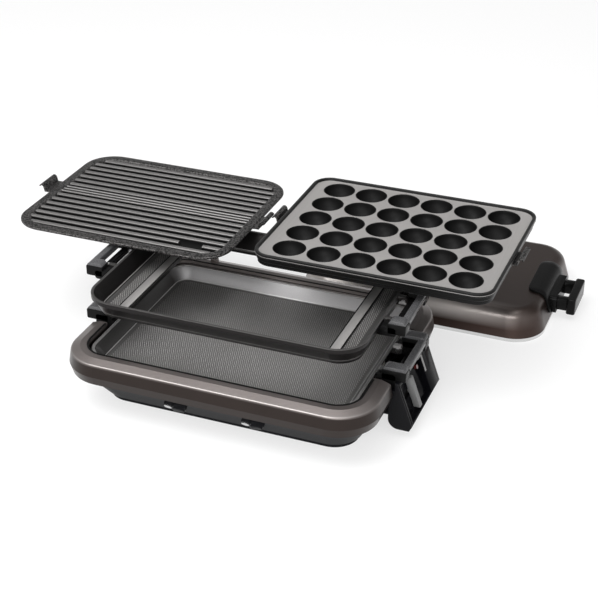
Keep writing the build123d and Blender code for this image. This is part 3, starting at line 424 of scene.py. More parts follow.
GLOSS_MOULDING = moulding("gloss_moulding", (0.002, 0.002, 0.003), (0.005, 0.005, 0.006), 0.16, sheen=0.03)
CAP_MOULDING = moulding("cap_moulding", (0.006, 0.006, 0.007), (0.011, 0.011, 0.012), 0.4, sheen=0.06)
STEEL = metal("bright_steel", (0.55, 0.55, 0.56), (0.75, 0.75, 0.76), 0.25, (1, 8, 1))
TRIM = metal("trim_steel", 0.6, 0.8, 0.2)
SHEATH = metal("heater_sheath", (0.12, 0.11, 0.1), (0.2, 0.19, 0.18), 0.45, grain_mm=1.5)
NICKEL = metal("nickel", (0.6, 0.58, 0.52), (0.75, 0.73, 0.67), 0.22)
CAP = metal("sensor_cap", (0.5, 0.5, 0.48), (0.7, 0.7, 0.68), 0.3)
CERAMIC = moulding("ceramic", (0.62, 0.6, 0.55), (0.75, 0.73, 0.68), 0.5)
PILOT = moulding("pilot_red", (0.06, 0.006, 0.005), (0.1, 0.01, 0.008), 0.1, coat=1.0)
print("finishes:", len(bpy.data.materials))

# %% [markdown]
# ## Which node gets which finish
# The CAD nodes that stay keep their shape and only get a finish. One table says which.


# %% Finishes on the CAD nodes
def pair(*stems):
    """The left and the right node of each name."""
    return [f"{stem}_{side}" for stem in stems for side in ("left", "right")]


FINISH_OF = {
    BRONZE_GUARD: ["guard"],
    BRONZE_LID: ["lid_shell"],
    TRAY_MOULDING: ["base_tray", *pair("front_latch")],
    GRIDDLE_COAT: ["griddle_plate"],
    FRAME_COAT: ["pan_frame"],
    CUP_BLACK: ["ball_cup_plate"],
    PLATE_GREY: ["ribbed_plate", "cup_plate_tabs", "ribbed_plate_tabs"],
    BLACK_MOULDING: ["thermostat_unit",
                     *pair("griddle_bracket", "frame_bracket", "lid_bracket", "lid_grip")],
    GREY_MOULDING: [*pair("griddle_grip", "frame_grip"), "temperature_lever"],
    GLOSS_MOULDING: ["control_housing"],
    CAP_MOULDING: ["control_front_cap"],
    STEEL: ["heat_shield", "heater_cradles", "latch_pins", "body_screws", "griddle_pins", "frame_pins",
            "sensor_guide"],
    TRIM: ["lid_trim"],
    SHEATH: ["heater_element"],
    NICKEL: ["inlet_pins"],
    CAP: ["thermostat_sensor"],
    CERAMIC: ["terminal_block"],
    PILOT: ["pilot_lens"],
}
for finish, names in FINISH_OF.items():
    for name in names:
        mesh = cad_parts[name].data
        mesh.materials.clear()
        mesh.materials.append(finish)
left_plain = sorted(set(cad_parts) - {name for names in FINISH_OF.values() for name in names})
print("nodes without a finish:", left_plain)

# %% [markdown]
# ## Pans drawn as stacks of rings
# Every pan here is a rounded rectangle seen from above and a short wavy line seen from the side. One
# helper walks that side line, the profile, and at each of its points lays a ring of the rounded rectangle
# pulled in by the profile's inset. Faces between neighbouring rings make the walls. All rings have the
# same number of points, so the faces stay clean quads round the corners.


# %% Profile with rounded corners
def soften(corners, steps=4, loop=False):
    """Turns corners (inset, height, radius) into points, each corner rounded by its own radius."""
    points = []
    count = len(corners)
    for index, (inset, height, radius) in enumerate(corners):
        here = Vector((inset, height))
        if not radius or not loop and index in (0, count - 1):
            points.append(here)
            continue
        before = (Vector(corners[index - 1][:2]) - here).normalized()
        after = (Vector(corners[(index + 1) % count][:2]) - here).normalized()
        half = before.angle(after) / 2
        middle = here + (before + after).normalized() * (radius / math.sin(half))
        start, end = (here + way * (radius / math.tan(half)) - middle for way in (before, after))
        sweep = start.angle_signed(end)
        for i in range(steps + 1):
            points.append(middle + Matrix.Rotation(-sweep * i / steps, 2) @ start)
    return [(point.x, point.y) for point in points]


# %% Rings, meshes and pieces
CORNER_STEPS = 12


def ring_points(width, depth, radius, inset, at):
    """Points once round a rounded rectangle, anticlockwise from above, in millimetres."""
    turn = max(radius - inset, 0.6)
    for quarter, (sx, sy) in enumerate(((1, 1), (-1, 1), (-1, -1), (1, -1))):
        middle_x = at[0] + sx * (width / 2 - inset - turn)
        middle_y = at[1] + sy * (depth / 2 - inset - turn)
        for i in range(CORNER_STEPS + 1):
            angle = math.radians(90 * (quarter + i / CORNER_STEPS))
            yield middle_x + turn * math.cos(angle), middle_y + turn * math.sin(angle)


def new_mesh(name, points, faces, finish=None):
    """A mesh from points in millimetres."""
    mesh = bpy.data.meshes.new(name)
    mesh.from_pydata([[v * MM for v in point] for point in points], [], faces)
    if finish:
        mesh.materials.append(finish)
    return mesh


def helper_object(*mesh_parts):
    """An object for a rule to read, from what new_mesh takes."""
    return bpy.data.objects.new(mesh_parts[0], new_mesh(*mesh_parts))


def finished_object(name, mesh, finish=None, sharp=35):
    """Links a mesh as a piece with smooth faces and crisp edges."""
    if finish:
        mesh.materials.append(finish)
    for face in mesh.polygons:
        face.use_smooth = True
    mesh.set_sharp_from_angle(angle=math.radians(sharp))
    return in_scene(name, mesh)


def ring_stack(name, size, profile, at, finish):
    """A solid from a rounded rectangle (width, depth, radius) and a profile that runs up the outside."""
    rings = [list(ring_points(*size, inset, at)) for inset, height in profile]
    count = len(rings[0])
    points = [(x, y, height) for ring, (inset, height) in zip(rings, profile) for x, y in ring]
    faces = [(a + i, a + (i + 1) % count, a + count + (i + 1) % count, a + count + i)
             for a in range(0, (len(rings) - 1) * count, count) for i in range(count)]
    faces.append(tuple(reversed(range(count))))
    faces.append(tuple(range((len(rings) - 1) * count, len(rings) * count)))
    return finished_object(name, new_mesh(name, points, faces, finish))


print("ring stack ready")

# %% [markdown]
# ## Rules instead of copies
# The cups and the ribs repeat, so a Geometry Nodes tree lays them out. A rule like that is easy to read
# back: how many, how far apart, how deep. The tree is run once, its result is kept as a plain mesh, and
# the modifier goes, so the finished piece depends on nothing.


# %% Helpers for rules
def new_rule(name, **inputs):
    """A Geometry Nodes tree with the inputs of each kind, and always a middle and a finish."""
    rule = bpy.data.node_groups.new(name, "GeometryNodeTree")
    rule.is_modifier = True
    for kind, labels in {**inputs, "Vector": ["Middle"], "Material": ["Finish"]}.items():
        for label in labels:
            rule.interface.new_socket(name=label, in_out="INPUT", socket_type="NodeSocket" + kind)
    rule.interface.new_socket(name="Geometry", in_out="OUTPUT", socket_type="NodeSocketGeometry")
    return rule, rule.nodes.new("NodeGroupInput").outputs, rule.nodes.new("NodeGroupOutput").inputs[0]


def shape_of(rule, given, label):
    """The mesh of the object that an input holds."""
    return step(rule, "GeometryNodeObjectInfo", {"Object": given[label]}, "Geometry")


def spread(rule, given, label, points, **more):
    """Moves points to the rule's middle and sets a shape on each, as real geometry with a finish."""
    spots = step(rule, "GeometryNodeTransform", {"Geometry": points, "Translation": given["Middle"]})
    links = {"Points": spots, "Instance": shape_of(rule, given, label), **more}
    copies = step(rule, "GeometryNodeInstanceOnPoints", links)
    solid = step(rule, "GeometryNodeRealizeInstances", {"Geometry": copies})
    return step(rule, "GeometryNodeSetMaterial", {"Geometry": solid, "Material": given["Finish"]})


def joined_and_cut(rule, plate, added, hollow):
    """The plate with one solid joined to it and another cut out of both."""
    joined = step(rule, "GeometryNodeMeshBoolean", operation="UNION", solver="EXACT")
    for part in (plate, added):
        rule.links.new(part, joined.node.inputs["Mesh 2"])
    links = {"Mesh 1": joined, "Mesh 2": hollow}
    return step(rule, "GeometryNodeMeshBoolean", links, operation="DIFFERENCE", solver="EXACT")


def made_plain(holder):
    """The mesh that an object's modifiers make; the object goes."""
    mesh = bpy.data.meshes.new_from_object(holder.evaluated_get(bpy.context.evaluated_depsgraph_get()))
    bpy.data.objects.remove(holder)
    return mesh


def run_rule(name, rule, finish, middle, lengths, values, sharp=35):
    """Runs a rule, its middle and lengths in millimetres, and keeps the result as a plain mesh piece."""
    holder = in_scene(name, bpy.data.meshes.new(name + "_start"))
    modifier = holder.modifiers.new("rule", "NODES")
    modifier.node_group = rule
    values = {**values, **{label: length * MM for label, length in lengths.items()},
              "Middle": tuple(v * MM for v in middle), "Finish": finish}
    for item in rule.interface.items_tree:
        if item.in_out == "INPUT":
            modifier[item.identifier] = values[item.name]
    mesh = made_plain(holder)
    mesh.name = name
    print(name, "has", len(mesh.polygons), "faces")
    return finished_object(name, mesh, None, sharp)


def stand_for(piece, body, slot, *nodes):
    """The piece rides on a body and hides the CAD nodes it stands for; slot is not used."""
    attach(piece, body)
    if nodes:
        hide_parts(*nodes)


def plan_of(node, radius):
    """Size from above with a corner radius, middle, bottom and top of a node, in millimetres."""
    low, high = ([v / MM for v in corner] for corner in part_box(node))
    size, middle = [high[i] - low[i] for i in (0, 1)], [(high[i] + low[i]) / 2 for i in (0, 1)]
    return [*size, radius], middle, low[2], high[2]


print("rule helpers ready")

# %% [markdown]
# ## The ball-cup plate
# A shallow tray with thirty round cups sunk in it. One cup is turned on a lathe twice, once as the metal
# bowl and once as the hollow, and a rule sets both on a grid: the bowls are joined to the tray and the
# hollows are cut out of it. The hollow flares at its lip, which leaves the small rounding that catches
# the light round every cup.

# %% Sizes of the ball-cup plate
CUP_PLATE, CUP_AT, _, CUP_RIM_Z = plan_of("ball_cup_plate", 22.0)
CUP_SINK, CUP_SKIRT = 3.0, 15.0
CUP_COLUMNS, CUP_ROWS, CUP_PITCH, CUP_ROW_SHIFT = 6, 5, 41.1, 2.3
CUP_RADIUS, CUP_WALL, CUP_LIP = 18.3, 2.4, 0.9
print("plate", [round(v, 1) for v in CUP_PLATE], "rim at", round(CUP_RIM_Z, 1))


# %% One cup on the lathe
def lathe(name, profile, turns=40):
    """A closed solid of revolution about Z from (radius, height) points, in millimetres."""
    rings = [(r, z) for r, z in profile if r > 0]
    points = [(0, 0, profile[0][1]), (0, 0, profile[-1][1])]
    points += [(r * math.cos(2 * math.pi * i / turns), r * math.sin(2 * math.pi * i / turns), z)
               for r, z in rings for i in range(turns)]
    top = 2 + (len(rings) - 1) * turns
    faces = []
    for i in range(turns):
        j = (i + 1) % turns
        faces += [(0, 2 + j, 2 + i), (1, top + i, top + j)]
        faces += [(a + i, a + j, a + turns + j, a + turns + i) for a in range(2, top, turns)]
    return helper_object(name, points, faces)


def bowl_profile(radius, top, steps=14):
    """Half a ball from its lowest point up to a height just under or over its middle."""
    end = math.acos(-top / radius)
    return [(0, -radius)] + [(radius * math.sin(end * k / steps), -radius * math.cos(end * k / steps))
                             for k in range(1, steps + 1)]


BOWL_TOP, HOLLOW_TOP = -1.2, 6
metal_bowl = lathe("metal_bowl", bowl_profile(CUP_RADIUS + CUP_WALL, BOWL_TOP) + [(0, BOWL_TOP)])
lip = [(CUP_RADIUS + CUP_LIP * (1 - math.cos(a)), -CUP_LIP + CUP_LIP * math.sin(a))
       for a in (math.radians(22.5 * k) for k in range(1, 5))]
hollow = lathe("hollow", bowl_profile(CUP_RADIUS, -CUP_LIP) + lip
               + [(CUP_RADIUS + CUP_LIP, HOLLOW_TOP), (0, HOLLOW_TOP)])
print("one cup is", 2 * CUP_RADIUS, "mm across")


# %% The rule for the cups
def cup_rule():
    rule, given, result = new_rule("cup_grid", Object=["Plate", "Bowl", "Hollow"], Int=["Columns", "Rows"],
                                   Float=["Pitch"])
    links = {}
    for letter, count in (("X", given["Columns"]), ("Y", given["Rows"])):
        links["Vertices " + letter] = count
        links["Size " + letter] = calc(rule, "MULTIPLY", calc(rule, "SUBTRACT", count, 1), given["Pitch"])
    grid = step(rule, "GeometryNodeMeshGrid", links)
    bowls, hollows = (spread(rule, given, label, grid) for label in ("Bowl", "Hollow"))
    rule.links.new(joined_and_cut(rule, shape_of(rule, given, "Plate"), bowls, hollows), result)
    return rule


# %% Tray, cups and rim
tray_line = [(inset, CUP_RIM_Z - drop, radius) for inset, drop, radius in (
    (3.4, CUP_SINK + CUP_WALL, 0), (5.4, CUP_SKIRT, 0), (3.0, CUP_SKIRT, 0.6), (3.0, 10.6, 0.8),
    (1.7, 9.6, 0.8), (1.5, 5.6, 0.8), (0, 4.6, 0.8), (0, 0, 1.2), (3.4, 0, 0.8), (4.2, CUP_SINK - 0.5, 0.3),
    (5.2, CUP_SINK, 0))]
tray = ring_stack("cup_tray", CUP_PLATE, soften(tray_line), CUP_AT, WEB_GREY)
cup_plate = run_rule(
    "cup_plate_body", cup_rule(), CUP_BLACK, (CUP_AT[0], CUP_AT[1] + CUP_ROW_SHIFT, CUP_RIM_Z - CUP_SINK),
    {"Pitch": CUP_PITCH},
    {"Plate": tray, "Bowl": metal_bowl, "Hollow": hollow, "Columns": CUP_COLUMNS, "Rows": CUP_ROWS})
for helper in (tray, metal_bowl, hollow):
    bpy.data.objects.remove(helper)
stand_for(cup_plate, "cup_plate", "coated_casting", "ball_cup_plate")

# %% [markdown]
# ## The ribbed plate
# A thick plate with a shallow pocket and seventeen ribs across it: seven wide ones, three narrow ones in
# the middle and seven wide ones again. The rule numbers the ribs from the middle out, so one short
# formula gives the place of every rib, and another shortens the ribs that meet the pocket's round corners.

# %% Sizes of the ribbed plate
RIB_PLATE, RIB_AT, RIB_BOTTOM_Z, RIB_TOP_Z = plan_of("ribbed_plate", 38.0)
RIB_RIM, RIB_FLANGE, RIB_FLOOR = 12.0, 3.0, 2.0
RIB_WIDE, RIB_NARROW, RIB_SHARE = 12.9, 6.45, 0.5
RIB_COUNT, RIB_NARROW_COUNT = 17, 3
DRAIN_X, DRAIN_Y, DRAIN_LENGTH, DRAIN_WIDTH = -97.0, 41.3, 30.0, 9.0
pocket_w, pocket_d, pocket_r = [v - k * RIB_RIM for v, k in zip(RIB_PLATE, (2, 2, 1))]
print("pocket", round(pocket_w, 1), "x", round(pocket_d, 1))


# %% One rib and the drain's cutter
def bar(name, outline, x0, x1, *finish):
    """A bar along X from an outline of (y, z) points, anticlockwise seen from +X, in millimetres."""
    count = len(outline)
    points = [(x, y, z) for x in (x0, x1) for y, z in outline]
    faces = [(i, (i + 1) % count, count + (i + 1) % count, count + i) for i in range(count)]
    faces += [tuple(reversed(range(count))), tuple(range(count, 2 * count))]
    return helper_object(name, points, faces, *finish)


HALF_METRE = 500  # a rib is drawn a metre long and wide, and the rule scales it
floor_z = RIB_BOTTOM_Z + RIB_FLOOR
rib_rise = RIB_TOP_Z - floor_z
crown = [(HALF_METRE * math.cos(math.radians(a)), rib_rise * (0.45 + 0.55 * math.sin(math.radians(a))))
         for a in range(0, 181, 15)]
one_rib = bar("one_rib", [(-HALF_METRE, -0.8), (HALF_METRE, -0.8)] + crown, -HALF_METRE, HALF_METRE)
drain_side = [(DRAIN_Y + side * DRAIN_WIDTH / 2, floor_z + z)
              for side, z in ((-1, 0.05), (1, 0.05), (1, 8), (-1, 8))]
drain = bar("drain", drain_side, DRAIN_X - DRAIN_LENGTH / 2, DRAIN_X + DRAIN_LENGTH / 2, PLATE_GREY)
print("a rib rises", round(rib_rise, 1), "mm")


# %% The rule for the ribs
def rib_rule():
    rule, given, result = new_rule("ribs", Object=["Plate", "Rib", "Drain"], Int=["Count", "Narrow Count"],
                                   Float=["Wide", "Narrow", "Share", "Length", "Depth", "Corner"])
    do = partial(calc, rule)
    times, less = partial(do, "MULTIPLY"), partial(do, "SUBTRACT")
    extra = less(given["Wide"], given["Narrow"])
    half_narrow = times(given["Narrow Count"], 0.5)
    index = step(rule, "GeometryNodeInputIndex")
    number = less(index, times(less(given["Count"], 1), 0.5))
    away, side = do("ABSOLUTE", number), do("SIGN", number)
    wide_place = less(times(away, given["Wide"]), times(extra, half_narrow))
    place = do("MAXIMUM", wide_place, times(away, given["Narrow"]))
    pitch = do("MULTIPLY_ADD", do("GREATER_THAN", away, half_narrow), extra, given["Narrow"])
    width = times(pitch, given["Share"])
    from_wall = less(times(given["Depth"], 0.5), place)
    into_corner = do("MAXIMUM", less(given["Corner"], from_wall), 0)
    chord = do("SQRT", less(*(times(v, v) for v in (given["Corner"], into_corner))))
    length = less(given["Length"], times(less(given["Corner"], chord), 2))
    offset = step(rule, "ShaderNodeCombineXYZ", {"Y": times(place, side)})
    size = step(rule, "ShaderNodeCombineXYZ", {"X": length, "Y": width, "Z": 1.0})
    line = step(rule, "GeometryNodeMeshLine", {"Count": given["Count"], "Offset": (0, 0, 0)})
    moved = step(rule, "GeometryNodeSetPosition", {"Geometry": line, "Offset": offset})
    ribs = spread(rule, given, "Rib", moved, Scale=size)
    plate, gap = (shape_of(rule, given, label) for label in ("Plate", "Drain"))
    rule.links.new(joined_and_cut(rule, plate, ribs, gap), result)
    return rule


# %% Plate, ribs and drain
plate_line = soften([(RIB_RIM - 1, RIB_BOTTOM_Z, 0), (RIB_RIM - 3, RIB_TOP_Z - RIB_FLANGE, 0.6),
                     (0, RIB_TOP_Z - RIB_FLANGE, 0.8), (0, RIB_TOP_Z, 1.2), (RIB_RIM - 0.6, RIB_TOP_Z, 1.0),
                     (RIB_RIM + 1.2, floor_z, 0)])
rib_tray = ring_stack("rib_tray", RIB_PLATE, plate_line, RIB_AT, PLATE_GREY)
rib_plate = run_rule(
    "rib_plate_body", rib_rule(), RIB_GREY, (*RIB_AT, floor_z),
    {"Wide": RIB_WIDE, "Narrow": RIB_NARROW, "Length": pocket_w + 1.2, "Depth": pocket_d,
     "Corner": pocket_r},
    {"Plate": rib_tray, "Rib": one_rib, "Drain": drain, "Count": RIB_COUNT,
     "Narrow Count": RIB_NARROW_COUNT, "Share": RIB_SHARE})
for helper in (rib_tray, one_rib, drain):
    bpy.data.objects.remove(helper)
stand_for(rib_plate, "rib_plate", "coated_casting", "ribbed_plate")

# %% [markdown]
# ## Dots on the cooking floors
# Ten thousand dots would be too many faces if each were round, and a low pyramid of six triangles is
# enough at this size. The rule lays a grid, shifts every other row by half a step and drops the points
# that fall outside the floor's rounded outline.

# %% One dot
DOT_STEP_X, DOT_STEP_Y = 2.6, 2.2
DOT_X, DOT_Y, DOT_HEIGHT, DOT_SINK = 0.95, 0.8, 0.4, 0.08
dot_points = [(-DOT_X, 0, 0), (0, -DOT_Y, 0), (DOT_X, 0, 0), (0, DOT_Y, 0), (0, 0, DOT_HEIGHT)]
dot_faces = [(0, 1, 4), (1, 2, 4), (2, 3, 4), (3, 0, 4), (3, 2, 1, 0)]
one_dot = helper_object("one_dot", dot_points, dot_faces)
print("a dot is", 2 * DOT_X, "x", 2 * DOT_Y, "mm")


# %% The rule for the dots
def dot_rule():
    rule, given, result = new_rule("dots", Object=["Dot"],
                                   Float=["Width", "Depth", "Corner", "Step X", "Step Y"])
    do = partial(calc, rule)
    times, less = partial(do, "MULTIPLY"), partial(do, "SUBTRACT")
    links = {}
    for letter, size in (("X", "Width"), ("Y", "Depth")):
        gap = given["Step " + letter]
        count = do("FLOOR", do("DIVIDE", given[size], gap))
        links["Size " + letter] = times(count, gap)
        links["Vertices " + letter] = do("ADD", count, 1)
    grid = step(rule, "GeometryNodeMeshGrid", links)
    position = step(rule, "GeometryNodeInputPosition")
    parts = {letter: axis(rule, position, letter) for letter in "XY"}
    row = do("ROUND", do("DIVIDE", do("ADD", parts["Y"], given["Depth"]), given["Step Y"]))
    shift = times(do("MODULO", row, 2), times(given["Step X"], 0.5))
    offset = step(rule, "ShaderNodeCombineXYZ", {"X": shift})
    moved = step(rule, "GeometryNodeSetPosition", {"Geometry": grid, "Offset": offset})
    past = []
    for letter, size in (("X", "Width"), ("Y", "Depth")):
        straight = less(times(given[size], 0.5), given["Corner"])
        over = do("MAXIMUM", less(do("ABSOLUTE", parts[letter]), straight), 0)
        past.append(times(over, over))
    outside = do("GREATER_THAN", do("ADD", *past), times(given["Corner"], given["Corner"]))
    kept = step(rule, "GeometryNodeDeleteGeometry", {"Geometry": moved, "Selection": outside})
    rule.links.new(spread(rule, given, "Dot", kept), result)
    return rule


# %% Dots on the griddle and in the frame's two troughs
DOTS = dot_rule()
FRAME_MIDDLE, TROUGH_X = (-3.0, 8.25), 137.5
GRIDDLE_FLOOR, TROUGH_FLOOR = (278, 198, 10, 53.0), (11.5, 176, 2, 108.0)


def dotted(name, body, middle, width, depth, corner, z):
    """Dots over a rounded rectangle of floor."""
    lengths = {"Width": width, "Depth": depth, "Corner": corner, "Step X": DOT_STEP_X, "Step Y": DOT_STEP_Y}
    piece = run_rule(name, DOTS, DOT_GREY, (*middle, z - DOT_SINK), lengths, {"Dot": one_dot}, sharp=5)
    stand_for(piece, body, "coated_casting")


dotted("griddle_dots", "griddle", (0, 0), *GRIDDLE_FLOOR)
for side, label in ((-1, "left"), (1, "right")):
    middle = (FRAME_MIDDLE[0] + side * TROUGH_X, FRAME_MIDDLE[1])
    dotted("frame_dots_" + label, "frame", middle, *TROUGH_FLOOR)
bpy.data.objects.remove(one_dot)

# %% [markdown]
# ## Eased edges
# No moulded or cast part has a perfectly sharp edge, and the thin bright line along an eased edge is what
# makes it look solid. So each sharp CAD block is copied, its triangles are merged back to whole faces and
# a bevel of a few tenths of a millimetre goes round it.


# %% Helper for eased edges
def eased(node, body, slot, width):
    """A copy of a CAD node with bevelled edges and the node's finish, which stands for the node."""
    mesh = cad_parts[node].data.copy()
    finish = mesh.materials[0]
    bm = bmesh.new()
    bm.from_mesh(mesh)
    bmesh.ops.remove_doubles(bm, verts=bm.verts, dist=0.002 * MM)
    bmesh.ops.dissolve_limit(bm, angle_limit=math.radians(1), verts=bm.verts, edges=bm.edges)
    bm.to_mesh(mesh)
    bm.free()
    rough = in_scene(node + "_rough", mesh)
    bevel = rough.modifiers.new("ease", "BEVEL")
    bevel.width, bevel.segments = width * MM, 3
    bevel.limit_method, bevel.angle_limit = "ANGLE", math.radians(40)
    bevel.harden_normals = True
    smooth = made_plain(rough)
    smooth.materials.clear()
    stand_for(finished_object(node + "_eased", smooth, finish, 50), body, slot, node)


# %% Handles, housing and latches with eased edges
for side in ("left", "right"):
    for pan in ("griddle", "frame"):
        eased(f"{pan}_bracket_{side}", pan, "black_moulding", 0.6)
    eased("lid_bracket_" + side, "lid", "black_moulding", 0.8)
    eased("lid_grip_" + side, "lid", "black_moulding", 0.6)
    eased("front_latch_" + side, "latch_" + side, "black_moulding", 0.4)
eased("control_housing", "body", "gloss_moulding", 0.7)
eased("control_front_cap", "body", "gloss_moulding", 0.4)
eased("temperature_lever", "lever", "grey_moulding", 0.5)
eased("pan_frame", "frame", "coated_casting", 0.5)
eased("griddle_plate", "griddle", "coated_casting", 0.5)

# %% [markdown]
# ## Grips
# A grip is a grey bar between two barrel-shaped ends, and under each end sits a glossy black block. Each
# of these is an outline in X and Z, rounded by the same helper as the pans' profiles, pushed out along Y
# and eased all round. One drawing of the right-hand grip serves all four: the left ones are mirrored.


# %% Shells pushed out along Y
def skin(bm, rows, closed=False):
    """Faces between each row of vertices and the next, also from a row's end to its start if closed."""
    for a, b in zip(rows, rows[1:]):
        for i in range(len(a) if closed else len(a) - 1):
            j = (i + 1) % len(a)
            bm.faces.new((a[i], a[j], b[j], b[i]))


def mesh_of(bm, name):
    """A mesh from a bmesh, which is freed."""
    mesh = bpy.data.meshes.new(name)
    bm.to_mesh(mesh)
    bm.free()
    return mesh


def add_eased(bm, shell, angle, width, segments):
    """Turns a shell's faces outwards, bevels its sharp edges and adds it to the larger bmesh."""
    bmesh.ops.recalc_face_normals(shell, faces=shell.faces)
    sharp = [edge for edge in shell.edges if edge.calc_face_angle() > math.radians(angle)]
    bmesh.ops.bevel(shell, geom=sharp, offset=width * MM, segments=segments, profile=0.5, affect="EDGES")
    mesh = mesh_of(shell, "shell")
    bm.from_mesh(mesh)
    bpy.data.meshes.remove(mesh)


def shells(name, finish, parts):
    """A piece from closed solids: each an (x, z, radius) outline from y0 to y1 with its edges eased."""
    bm = bmesh.new()
    for corners, y0, y1, ease in parts:
        outline = soften(corners, steps=6, loop=True)
        shell = bmesh.new()
        rings = [[shell.verts.new((x * MM, y * MM, z * MM)) for x, z in outline] for y in (y0, y1)]
        for ring in rings:
            shell.faces.new(ring)
        skin(shell, rings, closed=True)
        add_eased(bm, shell, 35, ease, 3)
    return finished_object(name, mesh_of(bm, name), finish, 30)


def box_corners(x0, x1, z0, z1, low_0=0, low_1=0, high_1=0, high_0=0):
    """Corners of an upright rectangle with a radius for each, for the soften helper."""
    return [(x0, z0, low_0), (x1, z0, low_1), (x1, z1, high_1), (x0, z1, high_0)]


print("shell helpers ready")

# %% Grips, end blocks and lugs of both pans
ARM_WIDTH, BAR_WIDTH, BAR_TUCK = 15.0, 8.5, 4


def grip(pan, side, sign):
    """The grip, the blocks under it and the lugs that join it to the pan."""
    low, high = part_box(f"{pan}_grip_{side}")
    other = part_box(f"{pan}_grip_{'left' if side == 'right' else 'right'}")
    middle = (min(low[0], other[0][0]) + max(high[0], other[1][0])) / 2 / MM
    inner, outer = sorted(abs(v / MM - middle) for v in (low[0], high[0]))
    y0, y1, z0, z1 = low[1] / MM, high[1] / MM, low[2] / MM, high[2] / MM

    def block(x0, x1, low_z, high_z, start, end, ease, *radii):
        """A block of the right-hand grip, mirrored where this is the left one."""
        corners = box_corners(x0, x1, low_z, high_z, *radii)
        return [(middle + sign * x, z, radius) for x, z, radius in corners], start, end, ease

    bar_ends = y0 + ARM_WIDTH - BAR_TUCK, y1 - ARM_WIDTH + BAR_TUCK
    grey = [block(outer - BAR_WIDTH, outer, z0 - 0.5, z1 - 1.8, *bar_ends, 0.5, 0, 1, 2.5, 1.5)]
    black = [block(outer - BAR_WIDTH + 1.5, outer - 1, z0 - 4, z0 + 0.5, *bar_ends, 0.5, 1, 1)]
    inside = y0 + ARM_WIDTH
    light = [block(inner + 1, inner + 8, z0 - 2.5, z0 - 0.5, inside + 1, inside + 9, 0.4)]
    for start, lug in ((y0, inside - 0.4), (y1 - ARM_WIDTH, y1 - ARM_WIDTH - 6.4)):
        end = start + ARM_WIDTH
        grey.append(block(inner + 3, outer - 0.3, z1 - 6, z1, start + 0.9, end - 0.9, 0.5, 0, 0, 5.2, 5.6))
        black.append(block(inner + 2.5, outer, z0 - 7.5, z1 - 3.4, start, end, 0.6, 1.5, 2, 1.2, 1.2))
        light.append(block(inner - 5.5, inner + 3.5, z0 - 7.2, z0 - 4, lug, lug + 6.8, 0.5, 0, 0, 1.4, 1.4))
    name = f"{pan}_grip_{side}"
    stand_for(shells(name + "_cover", GRIP_GREY, grey), pan, "grey_moulding", name)
    stand_for(shells(name + "_blocks", BLACK_MOULDING, black), pan, "black_moulding")
    stand_for(shells(name + "_lugs", LUG_GREY, light), pan, "grey_moulding")


for pan in ("griddle", "frame"):
    for side, sign in (("left", -1), ("right", 1)):
        grip(pan, side, sign)

# %% [markdown]
# At each end of the lid a broad plate with round corners carries the bracket. It is bent over the lid's
# shoulder, so it is made row by row along that shoulder's line: each row knows its place, the direction
# away from the lid and how wide the rounded outline is there.

# %% Plates bent over the lid's ends
LID_MIDDLE, LID_HALF, LID_SHOULDER = (128.0, 297.0), 158.0, 14.0
PLATE_HALF, PLATE_CORNER, PLATE_UNDER, PLATE_THICK = 42, 11, -0.6, 2.8


def bent_plate(bm, path, rows=30, columns=10):
    """Adds a plate that lies along an (x, z) path, centred on the lid's middle in y."""
    places = [Vector(point) for point in path]
    outwards = math.copysign(1, path[-1][0] - path[0][0])
    run = [0.0]
    for a, b in zip(places, places[1:]):
        run.append(run[-1] + (b - a).length)
    shell, (under, over) = bmesh.new(), ([], [])
    for row in range(rows + 1):
        distance = run[-1] * row / rows
        leg = max(i for i in range(len(run) - 1) if run[i] <= distance + 1e-6)
        heading = (places[leg + 1] - places[leg]).normalized()
        here = places[leg] + heading * (distance - run[leg])
        out = Vector((-heading.y, heading.x)) * outwards
        short = max(PLATE_CORNER - min(distance, run[-1] - distance), 0)
        reach = PLATE_HALF - PLATE_CORNER + math.sqrt(PLATE_CORNER ** 2 - short ** 2)
        for grid, away in ((under, PLATE_UNDER), (over, PLATE_THICK)):
            x, z = here + out * away
            ys = [LID_MIDDLE[1] + reach * (2 * i / columns - 1) for i in range(columns + 1)]
            grid.append([shell.verts.new((x * MM, y * MM, z * MM)) for y in ys])
    for grid in (under, over):
        skin(shell, grid)
    for end in (0, -1):
        skin(shell, (under[end], over[end]))
        skin(shell, [[row[end] for row in grid] for grid in (under, over)])
    add_eased(bm, shell, 50, 0.6, 2)


shoulder = [(LID_HALF - 31, 38, 0), (LID_HALF - 8.9, 38, LID_SHOULDER), (LID_HALF - 1.2, 9, 0)]
plates = bmesh.new()
for sign in (-1, 1):
    bent_plate(plates, [(LID_MIDDLE[0] + sign * x, z) for x, z in soften(shoulder, steps=8)])
lid_plates = mesh_of(plates, "lid_plates")
stand_for(finished_object("lid_plates", lid_plates, BLACK_MOULDING, 40), "lid", "black_moulding")
print("lid plates have", len(lid_plates.polygons), "faces")

# %% [markdown]
# ## Small parts of the body
# A light angle frames the upper back corner of the lever's recess. It lies on the housing's sloping side,
# so its outline is drawn along that slope.

# %% Angle round the lever's recess
SLOPE_TOP, SLOPE_FOOT = (185.0, 66.0), (203.0, 15.0)
SLOPE = (SLOPE_FOOT[0] - SLOPE_TOP[0]) / (SLOPE_TOP[1] - SLOPE_FOOT[1])
ANGLE_TOP, ANGLE_FOOT, ANGLE_BACK = 62.6, 41, 30.6


def slope_strip(low_z, high_z, y0, y1):
    """A strip from 0.6 mm inside the slope to 0.7 mm outside it."""
    ends = ((low_z, -0.6), (low_z, 0.7), (high_z, 0.7), (high_z, -0.6))
    return [(SLOPE_TOP[0] + (SLOPE_TOP[1] - z) * SLOPE + out * math.hypot(1, SLOPE), z, 0)
            for z, out in ends], y0, y1, 0.25


